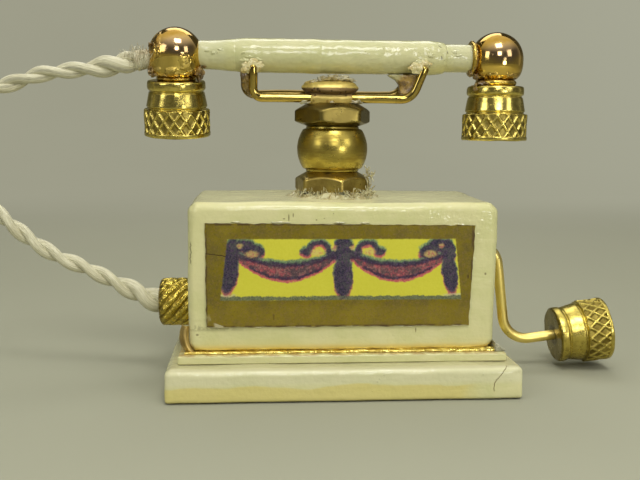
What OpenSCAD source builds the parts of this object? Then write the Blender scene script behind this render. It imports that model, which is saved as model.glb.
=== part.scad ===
// Dolls'-house telephone in the French cradle style, at its true miniature size.
// Millimetres, +Z up, +X to the crank side, -Y to the front.
// The origin is the centre of the plinth's underside.

/* [Base] */
// How far the plinth shows beyond the step at each side
plinth_side = 0.5; // [0.3:0.05:1.5]
// How far it shows in front and behind
plinth_front = 1.05; // [0.3:0.05:2]
// Height of the plinth
plinth_h = 1.74; // [1.2:0.02:2.6]
// Rounding of the plinth's upper edges
plinth_edge = 0.4; // [0.2:0.05:0.6]
// How far the thin step shows beyond the body at each side
step_side = 0.6; // [0.6:0.05:1.2]
// How far it shows in front and behind
step_front = 0.65; // [0.4:0.05:1.2]
// Thickness of the step
step_h = 0.46; // [0.3:0.02:0.8]
// Rounding of the step's upright corners
step_corner = 0.15; // [0.05:0.05:0.4]

/* [Body] */
// Width of the body block
body_w = 16.3; // [15.6:0.1:18]
// Depth of the body block
body_d = 9; // [8:0.1:11]
// Height of the body block
body_h = 7.87; // [7.2:0.01:9]
// Rounding of the body's twelve edges
body_edge = 0.5; // [0.3:0.05:0.8]
// Thickness of the gilt foil under the body
foil_t = 0.12; // [0.08:0.01:0.16]
// How far the foil shows round the body
foil_margin = 0.28; // [0.15:0.01:0.34]
// Height of the foil's turned-up corner on the cord side
curl_h = 1.1; // [0.6:0.1:1.4]
// Length of the turned-up corner, front to back
curl_l = 2.6; // [1.5:0.1:2.9]
// Width of the printed paper on the front
label_w = 14.2; // [12:0.1:14.8]
// Height of the printed paper
label_h = 5.5; // [4.5:0.1:6]
// Thickness of the printed paper
label_t = 0.1; // [0.06:0.01:0.16]
// Sideways shift of the paper from the middle
label_x = -0.2; // [-0.3:0.05:0.3]
// Height of the paper's lower edge above the body's foot
label_up = 1.25; // [0.9:0.05:1.3]

/* [Pedestal] */
// Sideways place of the pedestal
pedestal_x = -0.3; // [-0.6:0.05:0.6]
// Diameter of the paint bed that the lower nut stands in
bed_d = 5; // [4.8:0.1:6]
// Height of the paint bed
bed_h = 0.12; // [0.05:0.01:0.25]
// Width of the hexagon nuts across their flats
nut_af = 3.85; // [3.5:0.05:4.1]
// Height of each nut
nut_h = 1.3; // [1:0.05:1.8]
// Clear hole of each nut
nut_bore = 1.6; // [1.2:0.05:1.8]
// Diameter of the face that the nuts' corner chamfers leave
nut_face_d = 2.8; // [2.6:0.1:3.2]
// Height of the upper chamfer
nut_chamfer_top = 0.42; // [0.25:0.01:0.5]
// Height of the lower chamfer
nut_chamfer_foot = 0.26; // [0.15:0.01:0.4]
// Turn of the lower nut about the stud
lower_nut_turn = 10; // [0:1:60]
// Turn of the upper nut about the stud
upper_nut_turn = 38; // [0:1:60]
// Diameter of the pedestal bead
bead_d = 4; // [3.6:0.1:4.6]
// Height of the pedestal bead between its lips
bead_h = 2.54; // [2.2:0.02:3]
// Diameter of the bead's two lips
bead_lip_d = 3; // [2.6:0.1:3.2]
// Height of each lip
bead_lip_h = 0.12; // [0.08:0.01:0.2]
// Diameter of the stud through the pedestal
stud_d = 0.8; // [0.6:0.02:0.86]
// How deep the stud stands in the body block
stud_in_body = 3; // [2:0.1:4]
// How far the stud reaches into the collar
stud_in_collar = 0.5; // [0.3:0.02:0.56]

/* [Cradle] */
// Lean of the collar and cap towards the front, in degrees
cradle_tilt = 8; // [0:1:10]
// Backward shift of the collar on the nut
cradle_back = 0.2; // [0.1:0.05:0.25]
// Leftward shift of the collar on the nut
cradle_left = 0.15; // [0:0.05:0.3]
// Diameter of the collar
collar_d = 2.8; // [2.6:0.05:3]
// Height of the collar
collar_h = 0.66; // [0.6:0.02:0.9]
// Diameter of the domed cap
cap_d = 3.34; // [3:0.02:3.8]
// Height of the domed cap
cap_h = 0.68; // [0.6:0.02:1]
// Diameter of the cradle wires
fork_d = 0.5; // [0.4:0.02:0.56]
// Distance between the two wires, centre to centre
fork_gap = 1.8; // [1.75:0.05:1.9]
// Height of the wires in the collar
fork_up = 0.38; // [0.34:0.01:0.42]
// Reach of the left horns from the pedestal
fork_left = 4.5; // [3.8:0.1:4.8]
// Reach of the right horns' bend from the pedestal
fork_right = 3.8; // [3.4:0.1:4.2]
// Leftward shift of the rear wire
rear_shift = 0.45; // [0:0.05:0.8]
// Bend radius of the left horns
left_bend = 0.55; // [0.4:0.05:0.7]
// Bend radius of the right horns
right_bend = 0.9; // [0.6:0.05:1]
// Angle that the right horns are bent through
right_turn = 70; // [60:1:90]
// How far the front horns reach round the grip, from straight below
front_wrap = 56; // [45:1:62]
// How far the rear horns reach round the grip
rear_wrap = 50; // [40:1:60]

/* [Handset] */
// Distance between the two ball centres
ball_span = 18.14; // [17.8:0.02:19]
// Diameter of the two balls
ball_d = 3; // [2.8:0.05:3.2]
// Diameter of the painted grip
grip_d = 1.88; // [1.7:0.02:2.1]
// Length of the grip
grip_l = 12.1; // [11:0.1:12.4]
// Length over which each end of the grip rounds down
shoulder_l = 1; // [0.3:0.05:1.2]
// Diameter of the core rod that shows at both necks
core_d = 1.54; // [1.3:0.02:1.6]
// Height of each ball's flat foot below its centre
ball_foot = 1.17; // [1.1:0.01:1.3]
// Diameter of the pins that hold the cups to the balls
pin_d = 0.8; // [0.6:0.05:0.9]
// Mean diameter of the ring between ball and cup
ring_d = 2; // [1.8:0.05:2.2]
// Wire thickness of that ring at the earpiece
ear_ring_t = 0.22; // [0.2:0.02:0.4]
// Wire thickness of that ring at the mouthpiece
mouth_ring_t = 0.34; // [0.2:0.02:0.4]
// Thickness of the gilt ring at the mouthpiece neck
neck_ring_t = 0.22; // [0.16:0.02:0.3]
// Lean of the earpiece about its ball, with its mouth towards the back, in degrees
ear_lean = 7; // [0:1:8]
// How much of the earpiece ball stays full width below its middle
ear_skirt = 0.7; // [0.3:0.05:0.9]
// Diameter of the earpiece ball's flat foot
ear_foot_d = 2.5; // [1.9:0.05:2.7]
// The same for the mouthpiece ball
mouth_skirt = 0.25; // [0.1:0.05:0.9]
// Diameter of the mouthpiece ball's flat foot
mouth_foot_d = 2; // [1.9:0.05:2.7]

/* [Knurled cups] */
// Diameter over the knurl and rim
cup_d = 3.72; // [3.5:0.02:3.76]
// Height of a cup
cup_h = 3.08; // [2.8:0.02:3.1]
// Diameter of the collar at the top of a cup
cup_collar_d = 3.26; // [3.1:0.02:3.4]
// Diameter of the waist at its top, which widens to the knurl
cup_waist_d = 3.12; // [2.9:0.02:3.2]
// Diameter of the dish in the mouth
dish_d = 2.8; // [2.4:0.1:3]
// Depth of the dish
dish_h = 0.5; // [0.3:0.05:0.6]
// Diamonds round the knurl
knurl_n = 18; // [16:1:26]
// Height of the knurled band
knurl_h = 1.28; // [0.9:0.02:1.3]
// Depth of the knurl's diamonds
knurl_depth = 0.09; // [0.05:0.01:0.14]

/* [Crank] */
// Diameter of the crank wire
crank_d = 0.6; // [0.5:0.02:0.7]
// Height of the crank's axis above the body's foot
crank_up = 5.03; // [4.98:0.01:5.03]
// Length of wire that turns inside the body
journal_l = 2.8; // [2:0.1:4]
// Running clearance of the wire in its bore, on the radius
crank_fit = 0.05; // [0.02:0.01:0.08]
// Bend radius at the body
crank_bend = 1.35; // [1.2:0.05:1.5]
// Lean of the arm away from the body, in degrees
crank_lean = 7.5; // [4:0.5:9]
// Straight length of the arm
arm_l = 3.26; // [3:0.02:3.3]
// Bend radius at the elbow
elbow_bend = 1.46; // [1.3:0.02:1.5]
// Rise of the tail and knob from the horizontal, in degrees
tail_rise = 7; // [6:0.5:10]
// Wire that shows between the elbow and the knob
tail_l = 1.5; // [1.2:0.1:2]
// Wire that goes into the knob
tail_in_knob = 1.4; // [1:0.1:2]

/* [Cord] */
// Diameter of the twisted cord
cord_d = 0.8; // [0.7:0.02:0.84]
// Diameter of the fluted bead where the cord enters the body
gland_d = 2.74; // [2.5:0.02:3]
// Length of the fluted bead
gland_l = 1.9; // [1.8:0.05:2.1]
// Rounding of the bead's two ends
gland_edge = 0.55; // [0.3:0.05:0.7]
// Flutes round the bead
flute_n = 12; // [10:1:20]
// Depth of the flutes
flute_depth = 0.1; // [0.05:0.01:0.16]
// Turn of each flute from end to end, in degrees
flute_twist = 100; // [60:5:130]
// Height of the cord's entry above the body's foot
gland_up = 1.78; // [1.6:0.02:1.8]
// Distance from the earpiece ball's centre to the end of the thread whipping
whipping_reach = 2.1; // [2.05:0.01:2.1]
// Diameter of the whipping at its outer end
whipping_d = 0.96; // [0.86:0.02:1.1]
// Angle below the horizontal at which the cord leaves the ball
cord_drop = 10; // [8:1:12]

/* [Hidden] */
$fn = 64;

gilt = "darkgoldenrod";
polished_gold = "goldenrod";
cream_paint = "lightgoldenrodyellow";
// Gap of a glued or pushed-in fit, on the radius or between faces
snug = 0.01;
// Overlap of solids that are fused, and overshoot of cuts
eps = 0.05;

// Widths and depths of the step and plinth, outwards from the body
step_w = body_w + 2 * step_side;
step_d = body_d + 2 * step_front;
plinth_w = step_w + 2 * plinth_side;
plinth_d = step_d + 2 * plinth_front;

// Heights of the stack, each from the one below
step_z = plinth_h;
foil_z = step_z + step_h;
foot_z = foil_z + foil_t;
body_top = foot_z + body_h;
lower_nut_z = body_top + bed_h;
bead_z = lower_nut_z + nut_h;
upper_nut_z = bead_z + bead_h;
cradle_z = upper_nut_z + nut_h;
side_x = body_w / 2;
front_y = -body_d / 2;

// Cradle: the collar's foot, its two wires and the handset's axis above them
cradle_x = pedestal_x - cradle_left;
rest_gap = 0.02;
cap_gap = 0.3;
handset_z = cradle_z + collar_h + cap_h + cap_gap + grip_d / 2;
front_wire = tilted(-fork_gap / 2);
rear_wire = tilted(fork_gap / 2);

// Cups: heights measured down from the ball's centre
ball_x = ball_span / 2;
function ring_drop(t) = ball_foot + t / 2 + snug;
function cup_top(t) = -ring_drop(t) - t / 2 - snug;
neck_flat = sqrt(pow(ball_d / 2, 2) - pow(core_d / 2, 2));
cup_collar_h = 0.5;
cup_groove = 0.13;
cup_rim_h = 0.24;
cup_waist_foot_d = cup_waist_d + 0.3;

// Crank: hinge axis and the three bends' key points in the XZ plane
crank_z = foot_z + crank_up;
side_gap = 0.1;
bend_1 = [side_x + side_gap, crank_z - crank_bend];
arm_start = bend_1 + crank_bend * [cos(crank_lean), sin(crank_lean)];
arm_end = arm_start + arm_l * [sin(crank_lean), -cos(crank_lean)];
bend_2 = arm_end + elbow_bend * [cos(crank_lean), sin(crank_lean)];
tail_start = bend_2 + elbow_bend * [sin(tail_rise), -cos(tail_rise)];

// Cord: entry in the body, and the end at the earpiece's whipping
gland_z = foot_z + gland_up;
cord_hole = 1.25;
cord_exit = [-cos(cord_drop), -sin(cord_drop)];
whipping_seat = sqrt(pow(ball_d / 2, 2) - pow(whipping_d / 2, 2)) - snug;
whipping_end = [-ball_x, handset_z] + whipping_reach * cord_exit;
cord_sides = 8;
// The cord's free route in the XZ plane, from the gland to the whipping
cord_route = [
    [-11.6, 4.7], [-13, 5.4], [-14.4, 6.1], [-15.8, 6.7], [-17.2, 7.6], [-18.4, 8.6],
    [-19.7, 9.8], [-20.9, 11.2], [-21.6, 12.9], [-21.2, 14.6], [-19.8, 15.7],
    [-18.1, 16.3], [-16.4, 16.85], [-14.7, 17.1], [-13, 17.3]
];

// A wire's place in the leaning collar, as [y, z]
function tilted(y) = [
    cradle_back + y * cos(cradle_tilt) - fork_up * sin(cradle_tilt),
    cradle_z + y * sin(cradle_tilt) + fork_up * cos(cradle_tilt)
];

// Where a horn's tip lies against the grip, as [y, z]; side is -1 in front
function horn_tip(side, wrap) = let (r = (grip_d + fork_d) / 2 + rest_gap)
    [side * r * sin(wrap), handset_z - r * cos(wrap)];

// Triangles that fan out from each face's first corner
function fanned(faces) = [for (f = faces, k = [1:len(f) - 2]) [f[0], f[k], f[k + 1]]];

// A rectangle with round corners, centred
module round_rect(w, h, r) {
    square([w - 2 * r, h], center = true);
    square([w, h - 2 * r], center = true);
    for (x = [-1, 1], y = [-1, 1])
        translate([x * (w / 2 - r), y * (h / 2 - r)]) circle(r);
}

// A block standing on z = 0 with every edge rounded
module soft_block(w, d, h, r) {
    intersection() {
        linear_extrude(h) round_rect(w, d, r);
        translate([0, d / 2, h / 2]) rotate([90, 0, 0]) linear_extrude(d) round_rect(w, h, r);
        translate([-w / 2, 0, h / 2]) rotate([90, 0, 90]) linear_extrude(w) round_rect(d, h, r);
    }
}

// A ring of round wire about Z
module wire_ring(d, t) {
    rotate_extrude() translate([d / 2, 0]) circle(t / 2);
}

// A bend of round wire in the XZ plane about its centre; angles from +X towards +Z
module wire_bend(radius, d, from, turn) {
    rotate([90, 0, 0]) rotate([0, 0, from])
        rotate_extrude(angle = turn) translate([radius, 0]) circle(d / 2);
}

// A straight wire in the XZ plane; angle from +X towards +Z
module wire_run(start, angle, length, d) {
    translate([start[0], 0, start[1]]) rotate([0, 90 - angle, 0]) cylinder(d = d, h = length);
}

module plinth() {
    color(cream_paint) intersection() {
        translate([0, 0, -plinth_h]) soft_block(plinth_w, plinth_d, 2 * plinth_h, plinth_edge);
        translate([0, 0, plinth_h / 2]) cube([plinth_w + 1, plinth_d + 1, plinth_h], center = true);
    }
}

module base_step() {
    color("ivory") translate([0, 0, step_z]) linear_extrude(step_h)
        round_rect(step_w, step_d, step_corner);
}

// Foil between step and body, with one corner turned up beside the body
module foot_foil() {
    color(gilt) {
        translate([0, 0, foil_z]) linear_extrude(foil_t)
            square([body_w + 2 * foil_margin, body_d + 2 * foil_margin], center = true);
        translate([-side_x - foil_margin, front_y - foil_margin, foil_z]) foil_curl();
    }
}

// The turned-up corner, from the foil's edge: a quarter bend and a short upright
module foil_curl() {
    bend = 0.34;
    rotate([90, 0, 0]) mirror([0, 0, 1]) linear_extrude(curl_l) {
        translate([eps, bend]) intersection() {
            difference() {
                circle(bend);
                circle(bend - foil_t);
            }
            translate([-bend, -bend]) square(bend);
        }
        translate([eps - bend, bend - eps]) square([foil_t, curl_h - bend + eps]);
    }
}

// Wooden block, drilled for the stud, the crank and the cord
module body_block() {
    color(cream_paint) difference() {
        union() {
            translate([0, 0, foot_z]) soft_block(body_w, body_d, body_h, body_edge);
            translate([pedestal_x, 0, body_top - eps]) cylinder(d = bed_d, h = bed_h + eps);
        }
        translate([pedestal_x, 0, lower_nut_z - bed_h - stud_in_body])
            cylinder(d = stud_d + 2 * snug, h = stud_in_body + bed_h + eps);
        wire_run([side_x - journal_l - side_gap, crank_z], 0, journal_l + 1, crank_d + 2 * crank_fit);
        wire_run([-side_x - 1, gland_z], 0, cord_hole + 1, cord_d + 2 * snug);
    }
}

module front_print() {
    color("olive") translate([label_x - label_w / 2, front_y - label_t, foot_z + label_up])
        cube([label_w, label_t, label_h]);
}

module pedestal_stud() {
    color(gilt) translate([pedestal_x, 0, body_top - stud_in_body])
        cylinder(d = stud_d, h = cradle_z + stud_in_collar - body_top + stud_in_body);
}

// Hexagon nut with chamfered corners above and below
module nut() {
    corner_r = nut_af / sqrt(3);
    face_r = nut_face_d / 2;
    difference() {
        intersection() {
            cylinder(r = corner_r, h = nut_h, $fn = 6);
            rotate_extrude() polygon([
                [0, 0], [face_r, 0], [corner_r, nut_chamfer_foot],
                [corner_r, nut_h - nut_chamfer_top], [face_r, nut_h], [0, nut_h]
            ]);
        }
        translate([0, 0, -eps]) cylinder(d = nut_bore, h = nut_h + 2 * eps);
    }
}

module pedestal_lower_nut() {
    color(gilt) translate([pedestal_x, 0, lower_nut_z]) rotate([0, 0, lower_nut_turn]) nut();
}

// Round bead with a lip at each end of its hole
module pedestal_bead() {
    color(gilt) translate([pedestal_x, 0, bead_z]) difference() {
        union() {
            cylinder(d = bead_lip_d, h = bead_h);
            intersection() {
                translate([0, 0, bead_h / 2]) sphere(d = bead_d);
                translate([0, 0, bead_lip_h]) cylinder(d = bead_d + 1, h = bead_h - 2 * bead_lip_h);
            }
        }
        translate([0, 0, -eps]) cylinder(d = stud_d + 2 * snug, h = bead_h + 2 * eps);
    }
}

module pedestal_upper_nut() {
    color(gilt) translate([pedestal_x, 0, upper_nut_z]) rotate([0, 0, upper_nut_turn]) nut();
}

// Places what stands in the leaning cradle
module cradle_frame() {
    translate([cradle_x, cradle_back, cradle_z]) rotate([cradle_tilt, 0, 0]) children();
}

// Collar with a filed flat foot, bored for the stud and both wires
module cradle_collar() {
    groove = 0.08;
    color(polished_gold) difference() {
        cradle_frame() rotate_extrude() polygon([
            [0, -collar_h], [collar_d / 2, -collar_h], [collar_d / 2, collar_h - 2 * groove],
            [collar_d / 2 - groove, collar_h - groove], [collar_d / 2 - groove, collar_h], [0, collar_h]
        ]);
        translate([cradle_x, 0, cradle_z - collar_d]) cube(2 * collar_d, center = true);
        translate([pedestal_x, 0, cradle_z - eps])
            cylinder(d = stud_d + 2 * snug, h = stud_in_collar + snug + eps);
        for (wire = [front_wire, rear_wire])
            translate([cradle_x - collar_d, wire[0], wire[1]]) rotate([0, 90, 0])
                cylinder(d = fork_d + 2 * snug, h = 2 * collar_d);
    }
}

// Domed cap with a rolled edge
module cradle_cap() {
    roll = 0.2;
    dome_r = cap_d / 2 - roll;
    color(polished_gold) cradle_frame() translate([0, 0, collar_h + snug]) rotate_extrude() {
        polygon(concat(
            [[0, 0], [dome_r, 0]],
            [for (a = [90:-10:0]) [dome_r * sin(a), 2 * roll + (cap_h - 2 * roll) * cos(a)]]
        ));
        translate([dome_r, roll]) circle(roll);
    }
}

// One cradle wire: a straight run with a horn bent up at each end to the grip
module fork_wire(side, wire, wrap, shift) {
    tip = horn_tip(side, wrap);
    height = norm(tip - wire);
    splay = atan2(side * (tip[0] - wire[0]), tip[1] - wire[1]);
    left_x = pedestal_x - fork_left - shift + left_bend;
    right_x = pedestal_x + fork_right - shift;
    right_leg = (height - right_bend * (1 - cos(right_turn))) / sin(right_turn);
    translate([0, wire[0], wire[1]]) rotate([-side * splay, 0, 0]) {
        wire_run([left_x, 0], 0, right_x - left_x, fork_d);
        translate([left_x, 0, left_bend]) wire_bend(left_bend, fork_d, 180, 90);
        wire_run([left_x - left_bend, left_bend], 90, height - left_bend, fork_d);
        translate([right_x, 0, right_bend]) wire_bend(right_bend, fork_d, -90, right_turn);
        wire_run(
            [right_x + right_bend * sin(right_turn), right_bend * (1 - cos(right_turn))],
            right_turn, right_leg, fork_d
        );
    }
}

module cradle_front_wire() {
    color(polished_gold) fork_wire(-1, front_wire, front_wrap, 0);
}

module cradle_rear_wire() {
    color(polished_gold) fork_wire(1, rear_wire, rear_wrap, rear_shift);
}

// Painted sleeve with rounded shoulders, bored for the core
module handset_grip() {
    r = grip_d / 2;
    neck_r = core_d / 2;
    half = grip_l / 2;
    drop = r - neck_r;
    color(cream_paint) translate([0, 0, handset_z]) rotate([0, 90, 0]) rotate_extrude() polygon(concat(
        [[neck_r + snug, -half]],
        [for (a = [15:15:90]) [neck_r + drop * sin(a), -half + shoulder_l * (1 - cos(a))]],
        [for (a = [90:-15:15]) [neck_r + drop * sin(a), half - shoulder_l * (1 - cos(a))]],
        [[neck_r + snug, half]]
    ));
}

module handset_core() {
    length = ball_span - 2 * neck_flat - 2 * snug;
    color(cream_paint) translate([-length / 2, 0, handset_z]) rotate([0, 90, 0])
        cylinder(d = core_d, h = length);
}

// A ball with its pin, about the ball's centre; skirt is how far it stays full below and
// ring_t is the thickness of the ring under its flat foot
module ball_pin(skirt, foot_d, ring_t) {
    r = ball_d / 2;
    edge = ball_foot - skirt;
    foot_r = foot_d / 2;
    pin_end = cup_top(ring_t) - cup_h + dish_h;
    rotate_extrude() polygon(concat(
        [[0, r]],
        [for (a = [80:-10:0]) [r * cos(a), r * sin(a)]],
        [for (a = [0:15:90]) [foot_r + (r - foot_r) * cos(a), -skirt - edge * sin(a)]],
        [[pin_d / 2, -ball_foot], [pin_d / 2, pin_end], [0, pin_end]]
    ));
}

// Diamond-knurled drum: raised lines that cross, with a sunken flat diamond in each cell
module knurl_drum(r, h, n, depth) {
    rows = 3;
    land = 0.62;
    sunk = r - depth;
    cols = 2 * n;
    function at(i, j, radius) = [
        radius * cos(180 * i / n), radius * sin(180 * i / n), h * min(max(j, 0), rows) / rows
    ];
    cells = [for (j = [0:rows], i = [0:cols - 1]) if ((i + j) % 2 == 1) [i, j]];
    crossings = [for (j = [0:rows], i = [0:cols - 1]) if ((i + j) % 2 == 0) [i, j]];
    function low(i, j) = j * n + floor(((i + cols) % cols) / 2);
    lands = len(crossings);
    axis = lands + 4 * len(cells);
    points = concat(
        [for (c = crossings) at(c[0], c[1], r)],
        [for (c = cells) each [
            at(c[0] - land, c[1], sunk), at(c[0], c[1] - land, sunk),
            at(c[0] + land, c[1], sunk), at(c[0], c[1] + land, sunk)
        ]],
        [[0, 0, 0], [0, 0, h]]
    );
    faces = [for (k = [0:len(cells) - 1]) let (
        i = cells[k][0], j = cells[k][1], a = lands + 4 * k, b = a + 1, c = a + 2, d = a + 3,
        west = low(i - 1, j), east = low(i + 1, j)
    ) each concat(
        [j == 0 ? [a, d, c] : j == rows ? [a, c, b] : [a, d, c, b]],
        j < rows ? [[west, low(i, j + 1), d, a], [low(i, j + 1), east, c, d]]
                 : [[axis + 1, east, c, a, west]],
        j > 0 ? [[low(i, j - 1), west, a, b], [east, low(i, j - 1), b, c]]
              : [[axis, west, a, c, east]]
    )];
    polyhedron(points, fanned(faces), convexity = 4);
}

// Turned cup with a knurled mouth; its top face is at z = 0 and it hangs down
module cup(bore) {
    rim_r = cup_d / 2;
    collar_r = cup_collar_d / 2;
    waist_r = cup_waist_d / 2;
    waist_foot_r = cup_waist_foot_d / 2;
    waist_top = cup_collar_h + cup_groove;
    waist_foot = cup_h - cup_rim_h - knurl_h - cup_groove;
    groove_r = waist_foot_r - 0.05;
    round = 0.1;
    difference() {
        union() {
            rotate_extrude() polygon([
                [0, 0], [collar_r - round, 0], [collar_r, -round], [collar_r, -cup_collar_h + round],
                [collar_r - round, -cup_collar_h], [waist_r - 0.05, -waist_top],
                [waist_r, -waist_top - 0.05], [waist_foot_r, -waist_foot],
                [groove_r, -waist_foot - cup_groove / 2], [groove_r, -cup_h + cup_rim_h],
                [rim_r, -cup_h + cup_rim_h], [rim_r, -cup_h + round], [rim_r - round, -cup_h], [0, -cup_h]
            ]);
            translate([0, 0, -cup_h + cup_rim_h - eps])
                knurl_drum(rim_r - 0.02, knurl_h + eps, knurl_n, knurl_depth);
        }
        translate([0, 0, -cup_h - eps]) cylinder(d = bore, h = cup_h + 2 * eps);
        translate([0, 0, -cup_h - eps]) cylinder(d = dish_d, h = dish_h + eps);
    }
}

// Places what turns with the earpiece, which leans about its ball
module at_earpiece() {
    translate([-ball_x, 0, handset_z]) rotate([ear_lean, 0, 0]) children();
}

module at_mouthpiece() {
    translate([ball_x, 0, handset_z]) children();
}

// Spot-face that a neck of the handset stands in; side is -1 at the earpiece
module neck_seat(side) {
    translate([side * (ball_x - neck_flat), 0, handset_z]) rotate([0, -90 * side, 0])
        cylinder(d = core_d + 2 * snug, h = 2);
}

// Places what lies along the cord's way out of the earpiece ball
module along_cord_exit(distance) {
    translate([-ball_x, 0, handset_z]) rotate([0, -90 - cord_drop, 0])
        translate([0, 0, distance]) children();
}

module earpiece_ball_pin() {
    color(polished_gold) difference() {
        at_earpiece() ball_pin(ear_skirt, ear_foot_d, ear_ring_t);
        neck_seat(-1);
        along_cord_exit(whipping_seat) cylinder(d = whipping_d + 2 * snug, h = 1);
    }
}

module earpiece_ring() {
    color(polished_gold) at_earpiece() translate([0, 0, -ring_drop(ear_ring_t)])
        wire_ring(ring_d, ear_ring_t);
}

module earpiece_cup() {
    color(gilt) at_earpiece() translate([0, 0, cup_top(ear_ring_t)]) cup(pin_d + 2 * snug);
}

module mouthpiece_ball_pin() {
    color(polished_gold) difference() {
        at_mouthpiece() ball_pin(mouth_skirt, mouth_foot_d, mouth_ring_t);
        neck_seat(1);
    }
}

module mouthpiece_ring() {
    color(polished_gold) at_mouthpiece() translate([0, 0, -ring_drop(mouth_ring_t)])
        wire_ring(ring_d, mouth_ring_t);
}

module mouthpiece_cup() {
    color(gilt) at_mouthpiece() translate([0, 0, cup_top(mouth_ring_t)]) cup(pin_d + 2 * snug);
}

// Ring of gilt wire round the neck, pushed up against the widest part of the ball beside it
module mouthpiece_neck_ring() {
    ring = core_d + neck_ring_t + 2 * snug;
    below = max(0, (ring - neck_ring_t) / 2 - mouth_skirt) / (ball_foot - mouth_skirt);
    reach = (mouth_foot_d + (ball_d - mouth_foot_d) * sqrt(1 - pow(below, 2)) + neck_ring_t) / 2 + snug;
    color(polished_gold) translate([ball_x - reach, 0, handset_z])
        rotate([0, 90, 0]) wire_ring(ring, neck_ring_t);
}

// Bent wire: journal, shoulder bend, arm, elbow and tail
module crank_wire() {
    journal_x = side_x - journal_l;
    color(polished_gold) {
        wire_run([journal_x, crank_z], 0, bend_1[0] - journal_x, crank_d);
        translate([bend_1[0], 0, bend_1[1]]) wire_bend(crank_bend, crank_d, crank_lean, 90 - crank_lean);
        wire_run(arm_start, crank_lean - 90, arm_l, crank_d);
        translate([bend_2[0], 0, bend_2[1]])
            wire_bend(elbow_bend, crank_d, 180 + crank_lean, 90 - crank_lean + tail_rise);
        wire_run(tail_start, tail_rise, tail_l + tail_in_knob, crank_d);
    }
}

module crank_knob() {
    color(gilt) translate([tail_start[0], 0, tail_start[1]]) rotate([0, 90 - tail_rise, 0])
        translate([0, 0, tail_l]) mirror([0, 0, 1]) cup(crank_d + 2 * snug);
}

// Barrel bead with spiral flutes; its seat is at z = 0 and it stands up
module fluted_barrel(d, l, edge, n, depth, twist) {
    steps = [0, 0.12, 0.35, 0.7, 1];
    levels = concat([for (t = steps) edge * t], [l / 2], [for (k = [4:-1:0]) l - edge * steps[k]]);
    cols = 2 * n;
    function profile(z) = let (e = min(z, l - z)) e >= edge ? d / 2
        : d / 2 - edge + sqrt(pow(edge, 2) - pow(edge - e, 2));
    points = concat(
        [for (z = levels, i = [0:cols - 1]) let (
            a = 180 * i / n - twist * z / l, r = profile(z) - (i % 2) * depth
        ) [r * cos(a), r * sin(a), z]],
        [[0, 0, 0], [0, 0, l]]
    );
    last = len(levels) - 1;
    axis = len(levels) * cols;
    walls = fanned([for (k = [0:last - 1], i = [0:cols - 1]) let (j = (i + 1) % cols)
        [k * cols + i, (k + 1) * cols + i, (k + 1) * cols + j, k * cols + j]]);
    caps = [for (i = [0:cols - 1]) let (j = (i + 1) % cols) each [
        [axis, i, j], [axis + 1, last * cols + j, last * cols + i]
    ]];
    polyhedron(points, concat(walls, caps), convexity = 4);
}

module cord_gland() {
    color(gilt) difference() {
        translate([-side_x, 0, gland_z]) rotate([0, -90, 0])
            fluted_barrel(gland_d, gland_l, gland_edge, flute_n, flute_depth, flute_twist);
        wire_run([-side_x - gland_l - 1, gland_z], 0, gland_l + 2, cord_d + 2 * snug);
    }
}

// Thread whipping that holds the cord's end against the earpiece ball
module cord_whipping() {
    color("ivory") along_cord_exit(whipping_seat + snug)
        cylinder(d1 = whipping_d, d2 = cord_d + 0.06, h = whipping_reach - whipping_seat - 2 * snug);
}

// Unit direction from one point of the route to another
function heading(from, to) = (to - from) / norm(to - from);

// The cord, swept along its route with flat square ends
module handset_cord() {
    entry = [[-side_x + cord_hole - snug, gland_z], [-side_x - gland_l, gland_z]];
    exit = [whipping_end + cord_d * cord_exit, whipping_end];
    route = concat(entry, cord_route, exit);
    last = len(route) - 1;
    function along(k) = k == 0 ? heading(route[0], route[1])
        : k == last ? heading(route[last - 1], route[last])
        : heading([0, 0], heading(route[k - 1], route[k]) + heading(route[k], route[k + 1]));
    points = [for (k = [0:last], i = [0:cord_sides - 1]) let (
        way = along(k), a = 360 * (i + 0.5) / cord_sides, out = cord_d / 2 * cos(a)
    ) [route[k][0] - way[1] * out, cord_d / 2 * sin(a), route[k][1] + way[0] * out]];
    walls = fanned([for (k = [0:last - 1], i = [0:cord_sides - 1]) let (
        j = (i + 1) % cord_sides, a = k * cord_sides, b = a + cord_sides
    ) [a + i, a + j, b + j, b + i]]);
    ends = [
        [for (i = [cord_sides - 1:-1:0]) i],
        [for (i = [0:cord_sides - 1]) last * cord_sides + i]
    ];
    color("ivory") polyhedron(points, concat(walls, ends), convexity = 6);
    echo(cord_length = sum([for (k = [1:last]) norm(route[k] - route[k - 1])]));
}

function sum(values, k = 0) = k == len(values) ? 0 : values[k] + sum(values, k + 1);

plinth();
base_step();
foot_foil();
body_block();
front_print();
pedestal_stud();
pedestal_lower_nut();
pedestal_bead();
pedestal_upper_nut();
cradle_collar();
cradle_cap();
cradle_front_wire();
cradle_rear_wire();
handset_grip();
handset_core();
earpiece_ball_pin();
earpiece_ring();
earpiece_cup();
mouthpiece_ball_pin();
mouthpiece_ring();
mouthpiece_cup();
mouthpiece_neck_ring();
crank_wire();
crank_knob();
cord_gland();
cord_whipping();
handset_cord();
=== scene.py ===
import math

import bmesh
import bpy
from mathutils import Matrix, Vector, noise


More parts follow.
